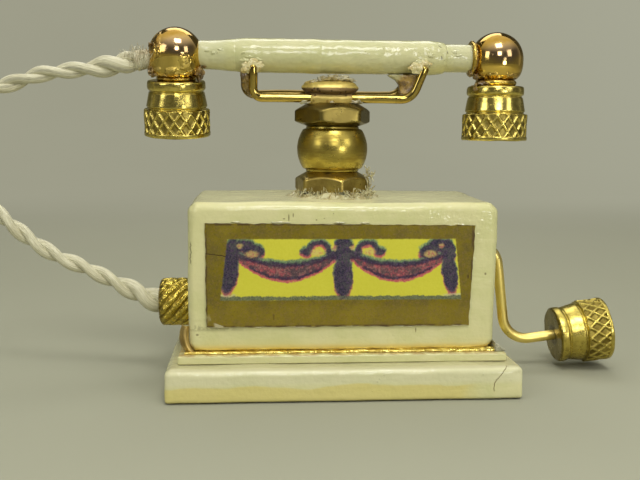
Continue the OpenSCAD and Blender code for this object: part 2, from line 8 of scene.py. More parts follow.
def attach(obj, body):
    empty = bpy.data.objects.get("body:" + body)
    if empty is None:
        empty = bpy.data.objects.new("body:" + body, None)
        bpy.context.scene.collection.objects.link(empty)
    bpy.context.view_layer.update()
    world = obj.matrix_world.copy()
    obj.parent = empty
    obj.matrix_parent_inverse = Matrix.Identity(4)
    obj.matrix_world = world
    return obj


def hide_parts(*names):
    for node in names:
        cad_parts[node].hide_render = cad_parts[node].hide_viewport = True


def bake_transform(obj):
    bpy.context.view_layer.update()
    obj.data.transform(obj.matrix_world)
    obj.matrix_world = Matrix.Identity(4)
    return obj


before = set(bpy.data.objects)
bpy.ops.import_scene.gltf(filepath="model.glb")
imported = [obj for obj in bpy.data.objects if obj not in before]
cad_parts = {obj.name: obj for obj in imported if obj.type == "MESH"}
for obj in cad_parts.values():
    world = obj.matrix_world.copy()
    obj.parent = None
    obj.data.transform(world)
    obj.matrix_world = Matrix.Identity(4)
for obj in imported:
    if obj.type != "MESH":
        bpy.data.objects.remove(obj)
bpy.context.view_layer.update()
scene = bpy.context.scene
scene.view_settings.view_transform = "Standard"
MM = 0.001


# ---- Camera ----------------------------------------------------------------------------------
# A close view from the front, a little left of the middle and just above the knurled cups. It
# looks slightly to the right and down on the plinth.
def aim_camera(place, yaw, pitch, roll, lens):
    camera = bpy.data.objects.new("camera", bpy.data.cameras.new("camera"))
    scene.collection.objects.link(camera)
    camera.data.sensor_width = 36
    camera.data.lens = lens
    camera.data.clip_start, camera.data.clip_end = 0.002, 4
    ahead = Vector((math.sin(yaw) * math.cos(pitch), math.cos(yaw) * math.cos(pitch), -math.sin(pitch)))
    level = Vector((math.cos(yaw), -math.sin(yaw), 0))
    upright = level.cross(ahead)
    right = math.cos(roll) * level - math.sin(roll) * upright
    up = math.sin(roll) * level + math.cos(roll) * upright
    turn = Matrix((right, up, -ahead)).transposed().to_4x4()
    camera.matrix_world = Matrix.Translation(Vector(place) * MM) @ turn
    scene.camera = camera


aim_camera((-4.796, -48.574, 14.255), yaw=0.079, pitch=0.1352, roll=-0.009, lens=47.81)


# ---- Cord ------------------------------------------------------------------------------------
# Two soft strands of ivory rayon, laid up into a cord 0.8 mm thick. It comes out of the fluted
# bead on the side of the block, stands out in one free loop and ends at the earpiece's ball.
class Signal:
    """One output of a node tree, with the arithmetic that adds its Math nodes."""

    def __init__(self, graph, socket):
        self.graph, self.socket = graph, socket

    def other(self, name):
        return Signal(self.graph, self.socket.node.outputs[name])

    def math(self, operation, *values):
        return self.graph.math(operation, self, *values)

    def __add__(self, value):
        return self.graph.math("ADD", self, value)

    def __radd__(self, value):
        return self.graph.math("ADD", value, self)

    def __sub__(self, value):
        return self.graph.math("SUBTRACT", self, value)

    def __rsub__(self, value):
        return self.graph.math("SUBTRACT", value, self)

    def __mul__(self, value):
        return self.graph.math("MULTIPLY", self, value)

    def __rmul__(self, value):
        return self.graph.math("MULTIPLY", value, self)

    def __truediv__(self, value):
        return self.graph.math("DIVIDE", self, value)

    def __abs__(self):
        return self.graph.math("ABSOLUTE", self)

    def __pow__(self, value):
        return self.graph.math("POWER", self, value)

    def least(self, value):
        return self.graph.math("MINIMUM", self, value)

    def most(self, value):
        return self.graph.math("MAXIMUM", self, value)

    def ramp(self, low, high):
        """0 below low and 1 above high, with a soft step between; the other way if high < low."""
        settings = {"interpolation_type": "SMOOTHSTEP"}
        return self.graph.node("ShaderNodeMapRange", settings, {0: self, 1: low, 2: high})


class Graph:
    """A node tree that is written as calls and expressions."""

    def __init__(self, tree):
        self.tree = tree

    def node(self, kind, settings=None, values=None, out=0):
        made = self.tree.nodes.new(kind)
        for key, value in (settings or {}).items():
            if key == "stops":
                for stop, (place, colour) in zip(made.color_ramp.elements, value):
                    stop.position, stop.color = place, (*colour, 1)
            else:
                setattr(made, key, value)
        for key, value in (values or {}).items():
            if isinstance(value, Signal):
                self.tree.links.new(value.socket, made.inputs[key])
            else:
                made.inputs[key].default_value = value
        return Signal(self, made.outputs[out]) if len(made.outputs) else None

    def math(self, operation, *values):
        return self.node("ShaderNodeMath", {"operation": operation}, dict(enumerate(values)))

    def vector(self, operation, *values, out=0):
        return self.node("ShaderNodeVectorMath", {"operation": operation}, dict(enumerate(values)), out)

    def scaled(self, vector, size):
        return self.node("ShaderNodeVectorMath", {"operation": "SCALE"}, {0: vector, "Scale": size})

    def circle(self, sides, radius):
        values = {"Resolution": sides, "Radius": radius}
        return self.node("GeometryNodeCurvePrimitiveCircle", {}, values)


class Finish(Graph):
    """A material with a Principled surface; its lengths are in millimetres."""

    def __init__(self, name, **constants):
        self.material = bpy.data.materials.new(name)
        self.material.use_nodes = True
        super().__init__(self.material.node_tree)
        self.tree.nodes.clear()
        self.surface = self.tree.nodes.new("ShaderNodeBsdfPrincipled")
        output = self.tree.nodes.new("ShaderNodeOutputMaterial")
        self.tree.links.new(self.surface.outputs[0], output.inputs["Surface"])
        for key, value in constants.items():
            self.surface.inputs[key.replace("_", " ")].default_value = value
        self.place = self.scaled(self.node("ShaderNodeTexCoord", out="Object"), 1000)

    def noise(self, scale, detail=2, roughness=0.5, place=None, stretch=None, out="Fac"):
        place = place or self.place
        if stretch:
            place = self.vector("MULTIPLY", place, stretch)
        values = {"Vector": place, "Scale": scale, "Detail": detail, "Roughness": roughness}
        return self.node("ShaderNodeTexNoise", {}, values, out)

    def cells(self, scale, feature="F1", place=None):
        values = {"Vector": place or self.place, "Scale": scale, "Randomness": 1}
        return self.node("ShaderNodeTexVoronoi", {"feature": feature}, values, "Distance")

    def axes(self, place=None):
        split = self.node("ShaderNodeSeparateXYZ", {}, {0: place or self.place})
        return split, split.other("Y"), split.other("Z")

    def mix(self, share, first, second):
        first, second = ((*c, 1) if isinstance(c, tuple) else c for c in (first, second))
        return self.node("ShaderNodeMix", {"data_type": "RGBA"}, {0: share, 6: first, 7: second}, 2)

    def wear(self, colour, height=None, **channels):
        """Links the colour, the relief in millimetres and any other varying channels."""
        channels["Base Color"] = colour
        if height is not None:
            channels["Normal"] = self.node(
                "ShaderNodeBump", {}, {"Height": height, "Distance": MM, "Strength": 1}
            )
        for key, value in channels.items():
            self.tree.links.new(value.socket, self.surface.inputs[key.replace("_", " ")])
        return self.material


def rayon(name):
    """Silky ivory yarn: fine fibres that run along each strand, on its own UV map."""
    finish = Finish(name, Sheen_Weight=0.25, Sheen_Roughness=0.4, Specular_IOR_Level=0.6)
    along = finish.node("ShaderNodeUVMap", {"uv_map": "UVMap"})
    fibres = finish.noise(1, 3, 0.6, along, (1.3, 26, 0))
    tufts = finish.noise(1, 2, 0.5, along, (0.9, 5, 0))
    soil = finish.noise(0.6, 3)
    tone = finish.mix(fibres.ramp(0.3, 0.7), (0.45, 0.42, 0.25), (0.66, 0.63, 0.43))
    tone = finish.mix(soil.ramp(0.5, 0.75) * 0.35, tone, (0.40, 0.35, 0.19))
    return finish.wear(tone, fibres * 0.05 + tufts * 0.05, Roughness=0.34 + fibres * 0.3)


def geometry_tree(name, **sizes):
    """An empty Geometry Nodes tree with a mesh in, a mesh out and named sizes."""
    tree = bpy.data.node_groups.new(name, "GeometryNodeTree")
    tree.interface.new_socket("Geometry", in_out="INPUT", socket_type="NodeSocketGeometry")
    for size, kind in sizes.items():
        tree.interface.new_socket(size, in_out="INPUT", socket_type="NodeSocket" + kind)
    tree.interface.new_socket("Geometry", in_out="OUTPUT", socket_type="NodeSocketGeometry")
    graph = Graph(tree)
    entry = graph.node("NodeGroupInput")
    return graph, {"Geometry": entry, **{size: entry.other(size) for size in sizes}}


def finish_tree(graph, shape, material):
    shape = graph.node("GeometryNodeRealizeInstances", {}, {0: shape})
    shape = graph.node("GeometryNodeSetMaterial", {}, {0: shape, "Material": material})
    graph.node("NodeGroupOutput", {}, {0: shape})
    return graph.tree


def line(name, points):
    """A bare path through points in millimetres, for a tree to work on."""
    mesh = bpy.data.meshes.new(name)
    mesh.from_pydata([Vector(p) * MM for p in points], [(k, k + 1) for k in range(len(points) - 1)], [])
    piece = bpy.data.objects.new(name, mesh)
    scene.collection.objects.link(piece)
    return piece


def worked(piece, tree, where=None, **sizes):
    """The piece after the tree's work on it, as a plain mesh, moved to its place."""
    modifier = piece.modifiers.new("work", "NODES")
    modifier.node_group = tree
    sockets = {
        item.name: item.identifier for item in tree.interface.items_tree if item.in_out == "INPUT"
    }
    for size, value in sizes.items():
        modifier[sockets[size]] = value
    bpy.context.view_layer.update()
    ready = bpy.context.evaluated_depsgraph_get()
    mesh = bpy.data.meshes.new_from_object(piece.evaluated_get(ready), depsgraph=ready)
    piece.modifiers.clear()
    start, piece.data = piece.data, mesh
    bpy.data.meshes.remove(start)
    mesh.name = piece.name
    if where:
        mesh.transform(Matrix.Scale(MM, 4) @ where @ Matrix.Scale(1 / MM, 4))
    mesh.shade_smooth()
    return piece


def through(points, step):
    """Points about step apart on a smooth curve through the given ones."""
    points = [Vector(p) for p in points]
    ends = [2 * points[0] - points[1], *points, 2 * points[-1] - points[-2]]
    curve = []
    for a, b, c, d in zip(ends, ends[1:], ends[2:], ends[3:]):
        pieces = max(1, round((c - b).length / step))
        for t in (k / pieces for k in range(pieces)):
            curve.append(
                0.5 * (2 * b + (c - a) * t + (2 * a - 5 * b + 4 * c - d) * t**2
                       + (3 * b - a - 3 * c + d) * t**3)
            )
    return curve + [points[-1]]


def strand_tree(material):
    """Strands that wind round the path they are given; it lies in a plane across Y."""
    graph, size = geometry_tree(
        "laid_strands",
        Strands="Int", Lay="Float", Spread="Float", Strand="Float", Frayed="Float", End="Float",
    )
    path = graph.node("GeometryNodeMeshToCurve", {}, {0: size["Geometry"]})
    far = graph.node("GeometryNodeSplineParameter", out="Length")
    path = graph.node("GeometryNodeCaptureAttribute", {}, {0: path})
    holder = path.socket.node
    holder.capture_items.new("FLOAT", "far")
    graph.tree.links.new(far.socket, holder.inputs[1])
    far = Signal(graph, holder.outputs[1])
    copies = graph.node(
        "GeometryNodeDuplicateElements", {"domain": "SPLINE"}, {0: path, "Amount": size["Strands"]}
    )
    number = copies.other("Duplicate Index")
    turn = (number / size["Strands"] - far / size["Lay"]) * (2 * math.pi)
    ahead = graph.node("GeometryNodeInputTangent")
    upward = graph.vector("CROSS_PRODUCT", ahead, (0, 1, 0))
    left = size["End"] - far
    opened = far.ramp(6.5 * MM, 3.6 * MM) + left.ramp(3.2 * MM, 1 * MM) - left.ramp(0.8 * MM, 0)
    loose = 1 + size["Frayed"] * opened
    reach = size["Spread"] * loose
    sideways = graph.scaled(upward, turn.math("COSINE") * reach)
    depthways = graph.node("ShaderNodeCombineXYZ", {}, {1: turn.math("SINE") * reach})
    shift = graph.vector("ADD", sideways, depthways)
    wound = graph.node("GeometryNodeSetPosition", {}, {0: copies, "Offset": shift})
    outline = graph.circle(12, size["Strand"])
    about = graph.node("GeometryNodeSplineParameter")
    outline = graph.node("GeometryNodeCaptureAttribute", {}, {0: outline})
    holder = outline.socket.node
    holder.capture_items.new("FLOAT", "about")
    graph.tree.links.new(about.socket, holder.inputs[1])
    about = Signal(graph, holder.outputs[1])
    tubes = graph.node(
        "GeometryNodeCurveToMesh", {}, {0: wound, 1: outline, "Scale": loose, "Fill Caps": True}
    )
    chart = graph.node("ShaderNodeCombineXYZ", {}, {0: far * 1000, 1: about + number * 3.7})
    tubes = graph.node(
        "GeometryNodeStoreNamedAttribute",
        {"data_type": "FLOAT2", "domain": "CORNER"},
        {0: tubes, "Name": "UVMap", "Value": chart},
    )
    return finish_tree(graph, tubes, material)


cord_run = [
    (-6.91, 0, 4.1), (-10.05, 0, 4.1), (-11.6, 0, 4.7), (-13, 0, 5.4), (-14.4, 0, 6.1),
    (-15.8, 0, 6.7), (-17.2, 0, 7.6), (-18.4, 0, 8.6), (-19.7, 0, 9.8), (-20.9, 0, 11.2),
    (-21.6, 0, 12.9), (-21.2, 0, 14.6), (-19.8, 0, 15.7), (-18.1, 0, 16.3), (-16.4, 0, 16.85),
    (-14.7, 0, 17.1), (-13, 0, 17.3), (-11.926, 0, 17.526), (-11.138, 0, 17.665),
]
cord_line = through(cord_run, 0.14)
cord_thread = rayon("ivory_rayon")
cord = worked(
    line("twisted_cord", cord_line), strand_tree(cord_thread),
    Strands=2, Lay=3.37 * MM, Spread=0.2 * MM, Strand=0.265 * MM, Frayed=0.5,
    End=sum((b - a).length for a, b in zip(cord_line, cord_line[1:])) * MM,
)
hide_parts("handset_cord")
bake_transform(cord)
[p * MM for p in cord_line]


# ---- Plinth ----------------------------------------------------------------------------------
# A flat slip of wood with its upper edges sanded round, brushed with cream gloss enamel. Damp
# glue has stained the lower half of its front yellow, and the right front corner is cracked.
def fitted(piece, body, slot, *nodes):
    """The piece belongs to that body and stands for those nodes; slot is not used."""
    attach(piece, body)
    if nodes:
        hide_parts(*nodes)
    return piece


def made(name, shape, material, *belongs):
    """A piece from points in millimetres, merged and facing outwards, and fitted if told where."""
    mesh = bpy.data.meshes.new(name)
    mesh.from_pydata([Vector(p) * MM for p in shape[0]], [], shape[1])
    form = bmesh.new()
    form.from_mesh(mesh)
    bmesh.ops.remove_doubles(form, verts=form.verts, dist=1e-7)
    bmesh.ops.recalc_face_normals(form, faces=form.faces)
    form.to_mesh(mesh)
    form.free()
    mesh.shade_smooth()
    mesh.set_sharp_from_angle(angle=math.radians(50))
    mesh.materials.append(material)
    piece = bpy.data.objects.new(name, mesh)
    scene.collection.objects.link(piece)
    if belongs:
        fitted(piece, *belongs)
    return piece


def marks(low, high, radius, step):
    """Places across one side of a block, close together where its edges turn."""
    turn = [radius * (1 - math.tan(math.radians(a))) for a in (45, 36, 27, 18, 9, 0)]
    flat = high - low - 2 * radius
    count = max(1, round(flat / step))
    inside = [low + radius + flat * k / count for k in range(1, count)]
    return [low + t for t in turn] + inside + [high - t for t in reversed(turn)]


def block(low, high, radius, step, move):
    """The skin of a block: a grid on each of its six sides, each point moved by move."""
    sides = [marks(a, b, radius, step) for a, b in zip(low, high)]
    points, faces = [], []
    for axis in range(3):
        u, v = (axis + 1) % 3, (axis + 2) % 3
        for end in (low[axis], high[axis]):
            start, width = len(points), len(sides[v])
            for a in sides[u]:
                for b in sides[v]:
                    place = [0, 0, 0]
                    place[axis], place[u], place[v] = end, a, b
                    points.append(move(Vector(place)))
            for i in range(len(sides[u]) - 1):
                for j in range(width - 1):
                    k = start + i * width + j
                    faces.append((k, k + width, k + width + 1, k + 1))
    return points, faces


def softened(place, low, high, radius):
    """A point on a block's skin, moved in where the block's edges are rounded."""
    core = Vector(min(max(c, a + radius), b - radius) for c, a, b in zip(place, low, high))
    out = place - core
    return core + out.normalized() * radius


# Without a fixed seed noise_vector differs from one run to the next.
noise.seed_set(12)


def ripple(place, pitch, height, seed=0):
    """A small hand-made unevenness, the same in every direction."""
    return noise.noise_vector(place / pitch + Vector((seed, 0, 0))) * height


def enamel(name, brushed=(0.35, 2.4, 2.4), cream=(0.60, 0.57, 0.29)):
    """Cream gloss enamel: brush marks, a little orange peel, dust under the gloss."""
    finish = Finish(name, Specular_IOR_Level=0.36)
    strokes = finish.noise(1.1, 3, 0.55, stretch=brushed)
    peel = finish.noise(3.2, 2)
    clouds = finish.noise(0.45, 3, 0.6)
    dust = finish.cells(1.7).ramp(0.07, 0.03) * finish.noise(0.9, 1).ramp(0.52, 0.6)
    darker, lighter = (
        tuple(c * d for c, d in zip(cream, by)) for by in ((0.9, 0.93, 0.84), (1.08, 1.08, 1.12))
    )
    tone = finish.mix(clouds.ramp(0.35, 0.7), cream, darker)
    tone = finish.mix(strokes.ramp(0.5, 0.75) * 0.35, tone, lighter)
    tone = finish.mix(dust * 0.6, tone, (0.16, 0.13, 0.05))
    height = strokes * 0.022 + peel * 0.03 + dust * 0.02
    return finish, tone, height, 0.08 + clouds * 0.1


def plinth():
    low, high = (-9.36, -6.2, 0), (9.4, 6.2, 1.74)

    def move(place):
        radius = 0.16 + 0.26 * place.z / high[2]
        place = softened(place, low, high, radius)
        rough = ripple(place, 2.6, 0.05) + ripple(place, 0.7, 0.014, 7)
        rough.z *= min(1, place.z)
        nick = Vector((place.x - 9.15, place.y + 6.2, place.z - 1.35)).length
        if nick < 0.35:
            rough.y += 0.14 * (1 - nick / 0.35)
        return place + rough

    finish, tone, height, gloss = enamel("plinth_enamel")
    x, y, z = finish.axes()
    wave = finish.noise(0.3, 3) - 0.5
    front = y.ramp(-5.7, -6.0)
    stain = (0.86 + wave * 0.9 - z).ramp(-0.05, 0.08) * front * (x + wave * 3).ramp(7.4, 5.8)
    tone = finish.mix(front * z.ramp(0.7, 1.1) * 0.5, tone, (0.62, 0.60, 0.40))
    tone = finish.mix(stain * 0.75, tone, (0.60, 0.51, 0.16))
    # Painted shade: the plinth's top face is darkened.
    tone = finish.mix(z.ramp(1.6, 1.7) * 0.7, tone, (0.46, 0.43, 0.24))
    # Painted shade: a dark band along the plinth's foot, where it meets the floor.
    tone = finish.mix(z.ramp(0.12, 0.0) * 0.5, tone, (0.33, 0.29, 0.12))
    crack = abs(x - 7.62 - (z - 0.4) ** 2 * 0.45 - finish.noise(2.2, 2) * 0.3).ramp(0.028, 0.008)
    crack = crack * front * z.ramp(0.35, 0.5)
    tone = finish.mix(crack * 0.8, tone, (0.24, 0.16, 0.06))
    paint = finish.wear(tone, height - crack * 0.05, Roughness=gloss)
    made("painted_plinth", block(low, high, 0.42, 0.3, move), paint, "base", "plinth_paint", "plinth")


plinth()


# ---- Step ------------------------------------------------------------------------------------
# A thin card glued on the plinth and painted with it. Its sharp upper edge has worn brown, and
# painted shade darkens its foot where it meets the plinth.
def base_step():
    low, high = (-8.75, -5.15, 1.74), (8.75, 5.15, 2.2)

    def move(place):
        place = softened(place, low, high, 0.09)
        rough = ripple(place, 1.9, 0.035, 3)
        rough.z = 0 if place.z < 1.9 else rough.z * 0.3
        return place + rough

    finish, tone, height, gloss = enamel("step_enamel")
    z = finish.axes()[2]
    worn = z.ramp(2.12, 2.19) * finish.noise(1.4, 3).ramp(0.35, 0.6)
    tone = finish.mix(worn * 0.7, tone, (0.34, 0.22, 0.08))
    # Painted shade along the step's foot.
    tone = finish.mix(z.ramp(1.82, 1.76) * 0.6, tone, (0.20, 0.16, 0.07))
    paint = finish.wear(tone, height, Roughness=gloss)
    made("painted_step", block(low, high, 0.09, 0.3, move), paint, "base", "step_paint", "base_step")


base_step()


# ---- Foil ------------------------------------------------------------------------------------
# A scrap of thin gilt foil, glued between the step and the block. It puffs up round the
# block's foot, and its left front corner is turned up beside the block.
def gilt(name, bright, dull, rough, tarnish=0.5, uneven=0.005):
    """Gilt or lacquered brass: clouds of tarnish, fine scratches and a few pits."""
    finish = Finish(name, Metallic=1.0)
    clouds = finish.noise(0.9, 4, 0.6)
    grain = finish.noise(7, 3, 0.6)
    scratch = finish.noise(2.5, 2, 0.5, stretch=(1, 1, 14))
    pits = finish.cells(3.4).ramp(0.16, 0.05) * finish.noise(1.3, 1).ramp(0.5, 0.6)
    tone = finish.mix(clouds.ramp(0.4, 0.72) * tarnish, bright, dull)
    tone = finish.mix(grain.ramp(0.55, 0.75) * 0.3 * tarnish, tone, dull)
    tone = finish.mix(pits * 0.8, tone, (0.12, 0.07, 0.015))
    height = (grain * 0.7 + scratch) * uneven - pits * 0.015
    gloss = rough + grain * 0.08 + clouds.ramp(0.45, 0.75) * 0.16
    return finish, tone, height, gloss


def foot_foil():
    low, high = (-8.43, -4.78, 2.2), (8.43, 4.78, 2.32)
    finish, tone, height, gloss = gilt(
        "crumpled_foil", (0.92, 0.76, 0.22), (0.66, 0.47, 0.08), 0.24, 0.6,
    )
    crumple = finish.cells(1.6, "DISTANCE_TO_EDGE") * 0.2 + finish.noise(3, 3) * 0.14
    material = finish.wear(tone, height + crumple, Roughness=gloss)

    def puff(place):
        place = softened(place, low, high, 0.05)
        outside = max(abs(place.x) - 8.1, abs(place.y) - 4.42, 0) / 0.3
        swell = 0.03 + 0.07 * noise.noise(place * 1.7) + 0.007 * place.x
        rise = math.sin(min(outside, 1) * math.pi) * swell
        if place.z > 2.26:
            place.z += max(rise, 0)
        sideways = ripple(place, 0.6, 0.06, 5) * min(outside, 1)
        sideways.z = 0
        return place + sideways

    made("foil_sheet", block(low, high, 0.05, 0.13, puff), material, "base", "gilt_foil", "foot_foil")
    outer = through(
        [(-8.26, 0, 2.22), (-8.56, 0, 2.44), (-8.72, 0, 2.85), (-8.72, 0, 3.3), (-8.62, 0, 3.62)],
        0.1,
    )
    inner = through(
        [(-7.85, 0, 2.26), (-8.05, 0, 2.5), (-8.18, 0, 2.85), (-8.22, 0, 3.3), (-8.22, 0, 3.62)],
        0.1,
    )

    def curl(place):
        rows = []
        for edge in (outer, inner):
            along = place.z * (len(edge) - 1.001)
            k = int(along)
            rows.append(edge[k].lerp(edge[k + 1], along - k))
        here = rows[0].lerp(rows[1], place.x)
        here.y = -4.6 + place.y + 0.9 * abs(place.x - 0.65) ** 1.7 + 0.25 * place.z
        return here + ripple(here, 1.2, 0.05, 9)

    leaf = block((0, -0.05, 0), (1, 0.05, 1), 0.03, 0.08, curl)
    finish, tone, height, gloss = gilt("curled_foil", (0.60, 0.44, 0.15), (0.42, 0.29, 0.09), 0.4, 0.7)
    streaks = finish.noise(1.6, 3, 0.6, stretch=(2.4, 1, 0.6)).ramp(0.42, 0.62)
    tone = finish.mix(streaks * 0.7, tone, (0.26, 0.17, 0.05))
    backing = finish.wear(tone, height, Roughness=gloss)
    made("foil_curl", leaf, backing, "base", "gilt_foil")


foot_foil()


# ---- Body ------------------------------------------------------------------------------------
# A block of wood with soft edges, under the same cream enamel as the plinth, brushed on thick.
# It is glued on the foil, and a scrap of grey putty sticks to its foot on the right.
def body_block():
    low, high = (-8.23, -4.5, 2.32), (8.25, 4.5, 10.19)

    def move(place):
        up = (place.z - low[2]) / (high[2] - low[2])
        corner = min(1, max(0, (abs(place.x) - 7.5) / 0.6))
        place = softened(place, low, high, 0.13 + 0.37 * up ** 3 + (0.32 - 0.18 * up) * corner)
        if place.x > 0 and place.y > 0:
            place.x += 0.3 * (place.y / 4.5) * (place.x / 8.2)
        rough = ripple(place, 3.1, 0.06, 2) + ripple(place, 0.9, 0.018, 8)
        rough.z *= min(1, up * 8)
        return place + rough

    finish, tone, height, gloss = enamel("body_enamel")
    x, y, z = finish.axes()
    pool = z.ramp(3.1, 2.4) * finish.noise(0.5, 2).ramp(0.3, 0.6)
    tone = finish.mix(pool * 0.35, tone, (0.60, 0.50, 0.16))
    # Painted reflection: the gilt foil's yellow glow on the lowest front of the block.
    glow = z.ramp(2.72, 2.4) * y.ramp(-4.0, -4.3) * (0.5 + finish.noise(1.5, 2, stretch=(1, 1, 3)) * 0.5)
    tone = finish.mix(glow, tone, (0.62, 0.45, 0.09))
    # Painted shade: a dark line along the block's foot, where it meets the foil.
    tone = finish.mix(z.ramp(2.4, 2.33) * 0.6, tone, (0.30, 0.18, 0.04))
    side_crack = abs(x + 8.05 - (finish.noise(2.4, 3, stretch=(0, 0, 1)) - 0.5) * 0.4).ramp(0.045, 0.015)
    side_crack = side_crack * abs(z - 7.55).ramp(0.65, 0.45) * y.ramp(-3.9, -4.1)
    tone = finish.mix(side_crack * 0.75, tone, (0.12, 0.11, 0.05))
    chips = [
        (-2.95, -4.5, 9.42, 0.035, 0.17), (-2.72, -4.5, 9.55, 0.03, 0.1), (-3.2, -4.5, 9.36, 0.06, 0.03),
        (2.35, -2.6, 10.19, 0.05, 0.05), (-1.5, -4.5, 9.3, 0.04, 0.03), (7.6, -4.5, 6.4, 0.05, 0.06),
        (-7.75, -4.5, 3.2, 0.07, 0.05), (3.9, -4.5, 3.35, 0.03, 0.12),
    ]
    for across, deep, up, wide, tall in chips:
        away = (((x - across) / wide) ** 2 + ((z - up) / tall) ** 2 + ((y - deep) / 0.2) ** 2) ** 0.5
        tone = finish.mix(away.ramp(1.5, 0.7) * 0.75, tone, (0.16, 0.13, 0.05))
    grime = abs(z - 3.56).ramp(0.24, 0.06) * x.ramp(-4.6, -6.4) * finish.noise(2.6, 3, 0.6).ramp(
        0.45, 0.58,
    )
    grime = grime * y.ramp(-4.1, -4.3)
    tone = finish.mix(grime * 0.6, tone, (0.27, 0.25, 0.12))
    # Painted light: the block's top face is made lighter, as if lit more from above.
    tone = finish.mix(z.ramp(9.98, 10.12) * y.ramp(-4.3, -3.8) * 0.95, tone, (0.76, 0.73, 0.41))
    material = finish.wear(tone, height, Roughness=gloss)
    made("painted_body", block(low, high, 0.52, 0.3, move), material, "base", "body_paint", "body_block")

    def wedge(place):
        place = softened(place, (0, -4.85, 0), (1, -3.4, 1), 0.12)
        slope = 0.6 * (1 - place.z) ** 1.2
        here = Vector((8.18 + 0.04 * place.x + slope * place.x, place.y, 2.2 + 0.5 * place.z))
        return here + ripple(here, 0.3, 0.09, 3) * place.x

    grey = Finish("grey_putty", Specular_IOR_Level=0.4)
    spots = grey.noise(3, 4, 0.7)
    tint = grey.mix(spots.ramp(0.4, 0.62), (0.26, 0.25, 0.16), (0.46, 0.44, 0.30))
    grey.wear(tint, spots * 0.2, Roughness=0.35 + spots * 0.3)
    skin = block((0, -4.85, 0), (1, -3.4, 1), 0.12, 0.12, wedge)
    made("putty_at_foot", skin, grey.material, "base", "body_paint")


body_block()


# ---- Printed paper ---------------------------------------------------------------------------
# Glossy paper with a garland in yellow, magenta and blue inside a plain olive-gold border,
# glued on the front of the block. It is cut a little crooked, its lower left corner is torn,
# and drops of clear glue have dried along its edges.
def turned(profile, columns, move=None, twist=0):
    """A solid of revolution about Z from (radius, height) points; twist leans its columns."""
    points, faces = [], []
    for radius, height in profile:
        for k in range(columns):
            angle = 2 * math.pi * k / columns + twist * height
            here = Vector((radius * math.cos(angle), radius * math.sin(angle), height))
            points.append(move(here) if move else here)
    for row in range(len(profile) - 1):
        for k in range(columns):
            a, b = row * columns + k, row * columns + (k + 1) % columns
            faces.append((a, b, b + columns, a + columns))
    return points, faces


def lump(place, size, seed, uneven=0.3):
    """The skin of a small irregular drop about a place; size gives its three half-lengths."""
    arc = [Vector((math.sin(a), -math.cos(a))) for a in (math.pi * k / 12 for k in range(13))]

    def move(point):
        point = point * (1 + uneven * noise.noise(point * 1.7 + Vector((seed, 0, 0))))
        return Vector(place) + Vector([a * b for a, b in zip(point, size)])

    return turned(arc, 22, move)


def gathered(shapes):
    """Several closed skins as one."""
    points, faces = [], []
    for more, skin in shapes:
        faces += [tuple(k + len(points) for k in face) for face in skin]
        points += more
    return points, faces


def spatter(name, drops, material, body, slot):
    """Small drops as one piece; each has a place, three half-lengths, a seed and an unevenness."""
    made(name, gathered([lump(*drop) for drop in drops]), material, body, slot)


def glue(name, pale, deep, **constants):
    """Dried glue with paint and dirt in it, lumpy and glossy."""
    finish = Finish(name, Specular_IOR_Level=0.6, **constants)
    clouds, grit = finish.noise(2.4, 3, 0.6), finish.noise(8, 3, 0.7)
    tone = finish.mix(clouds.ramp(0.35, 0.65), pale, deep)
    tone = finish.mix(grit.ramp(0.55, 0.7) * 0.5, tone, tuple(c * 0.4 for c in deep))
    return finish.wear(tone, clouds * 0.12 + grit * 0.02, Roughness=0.12 + grit * 0.25)


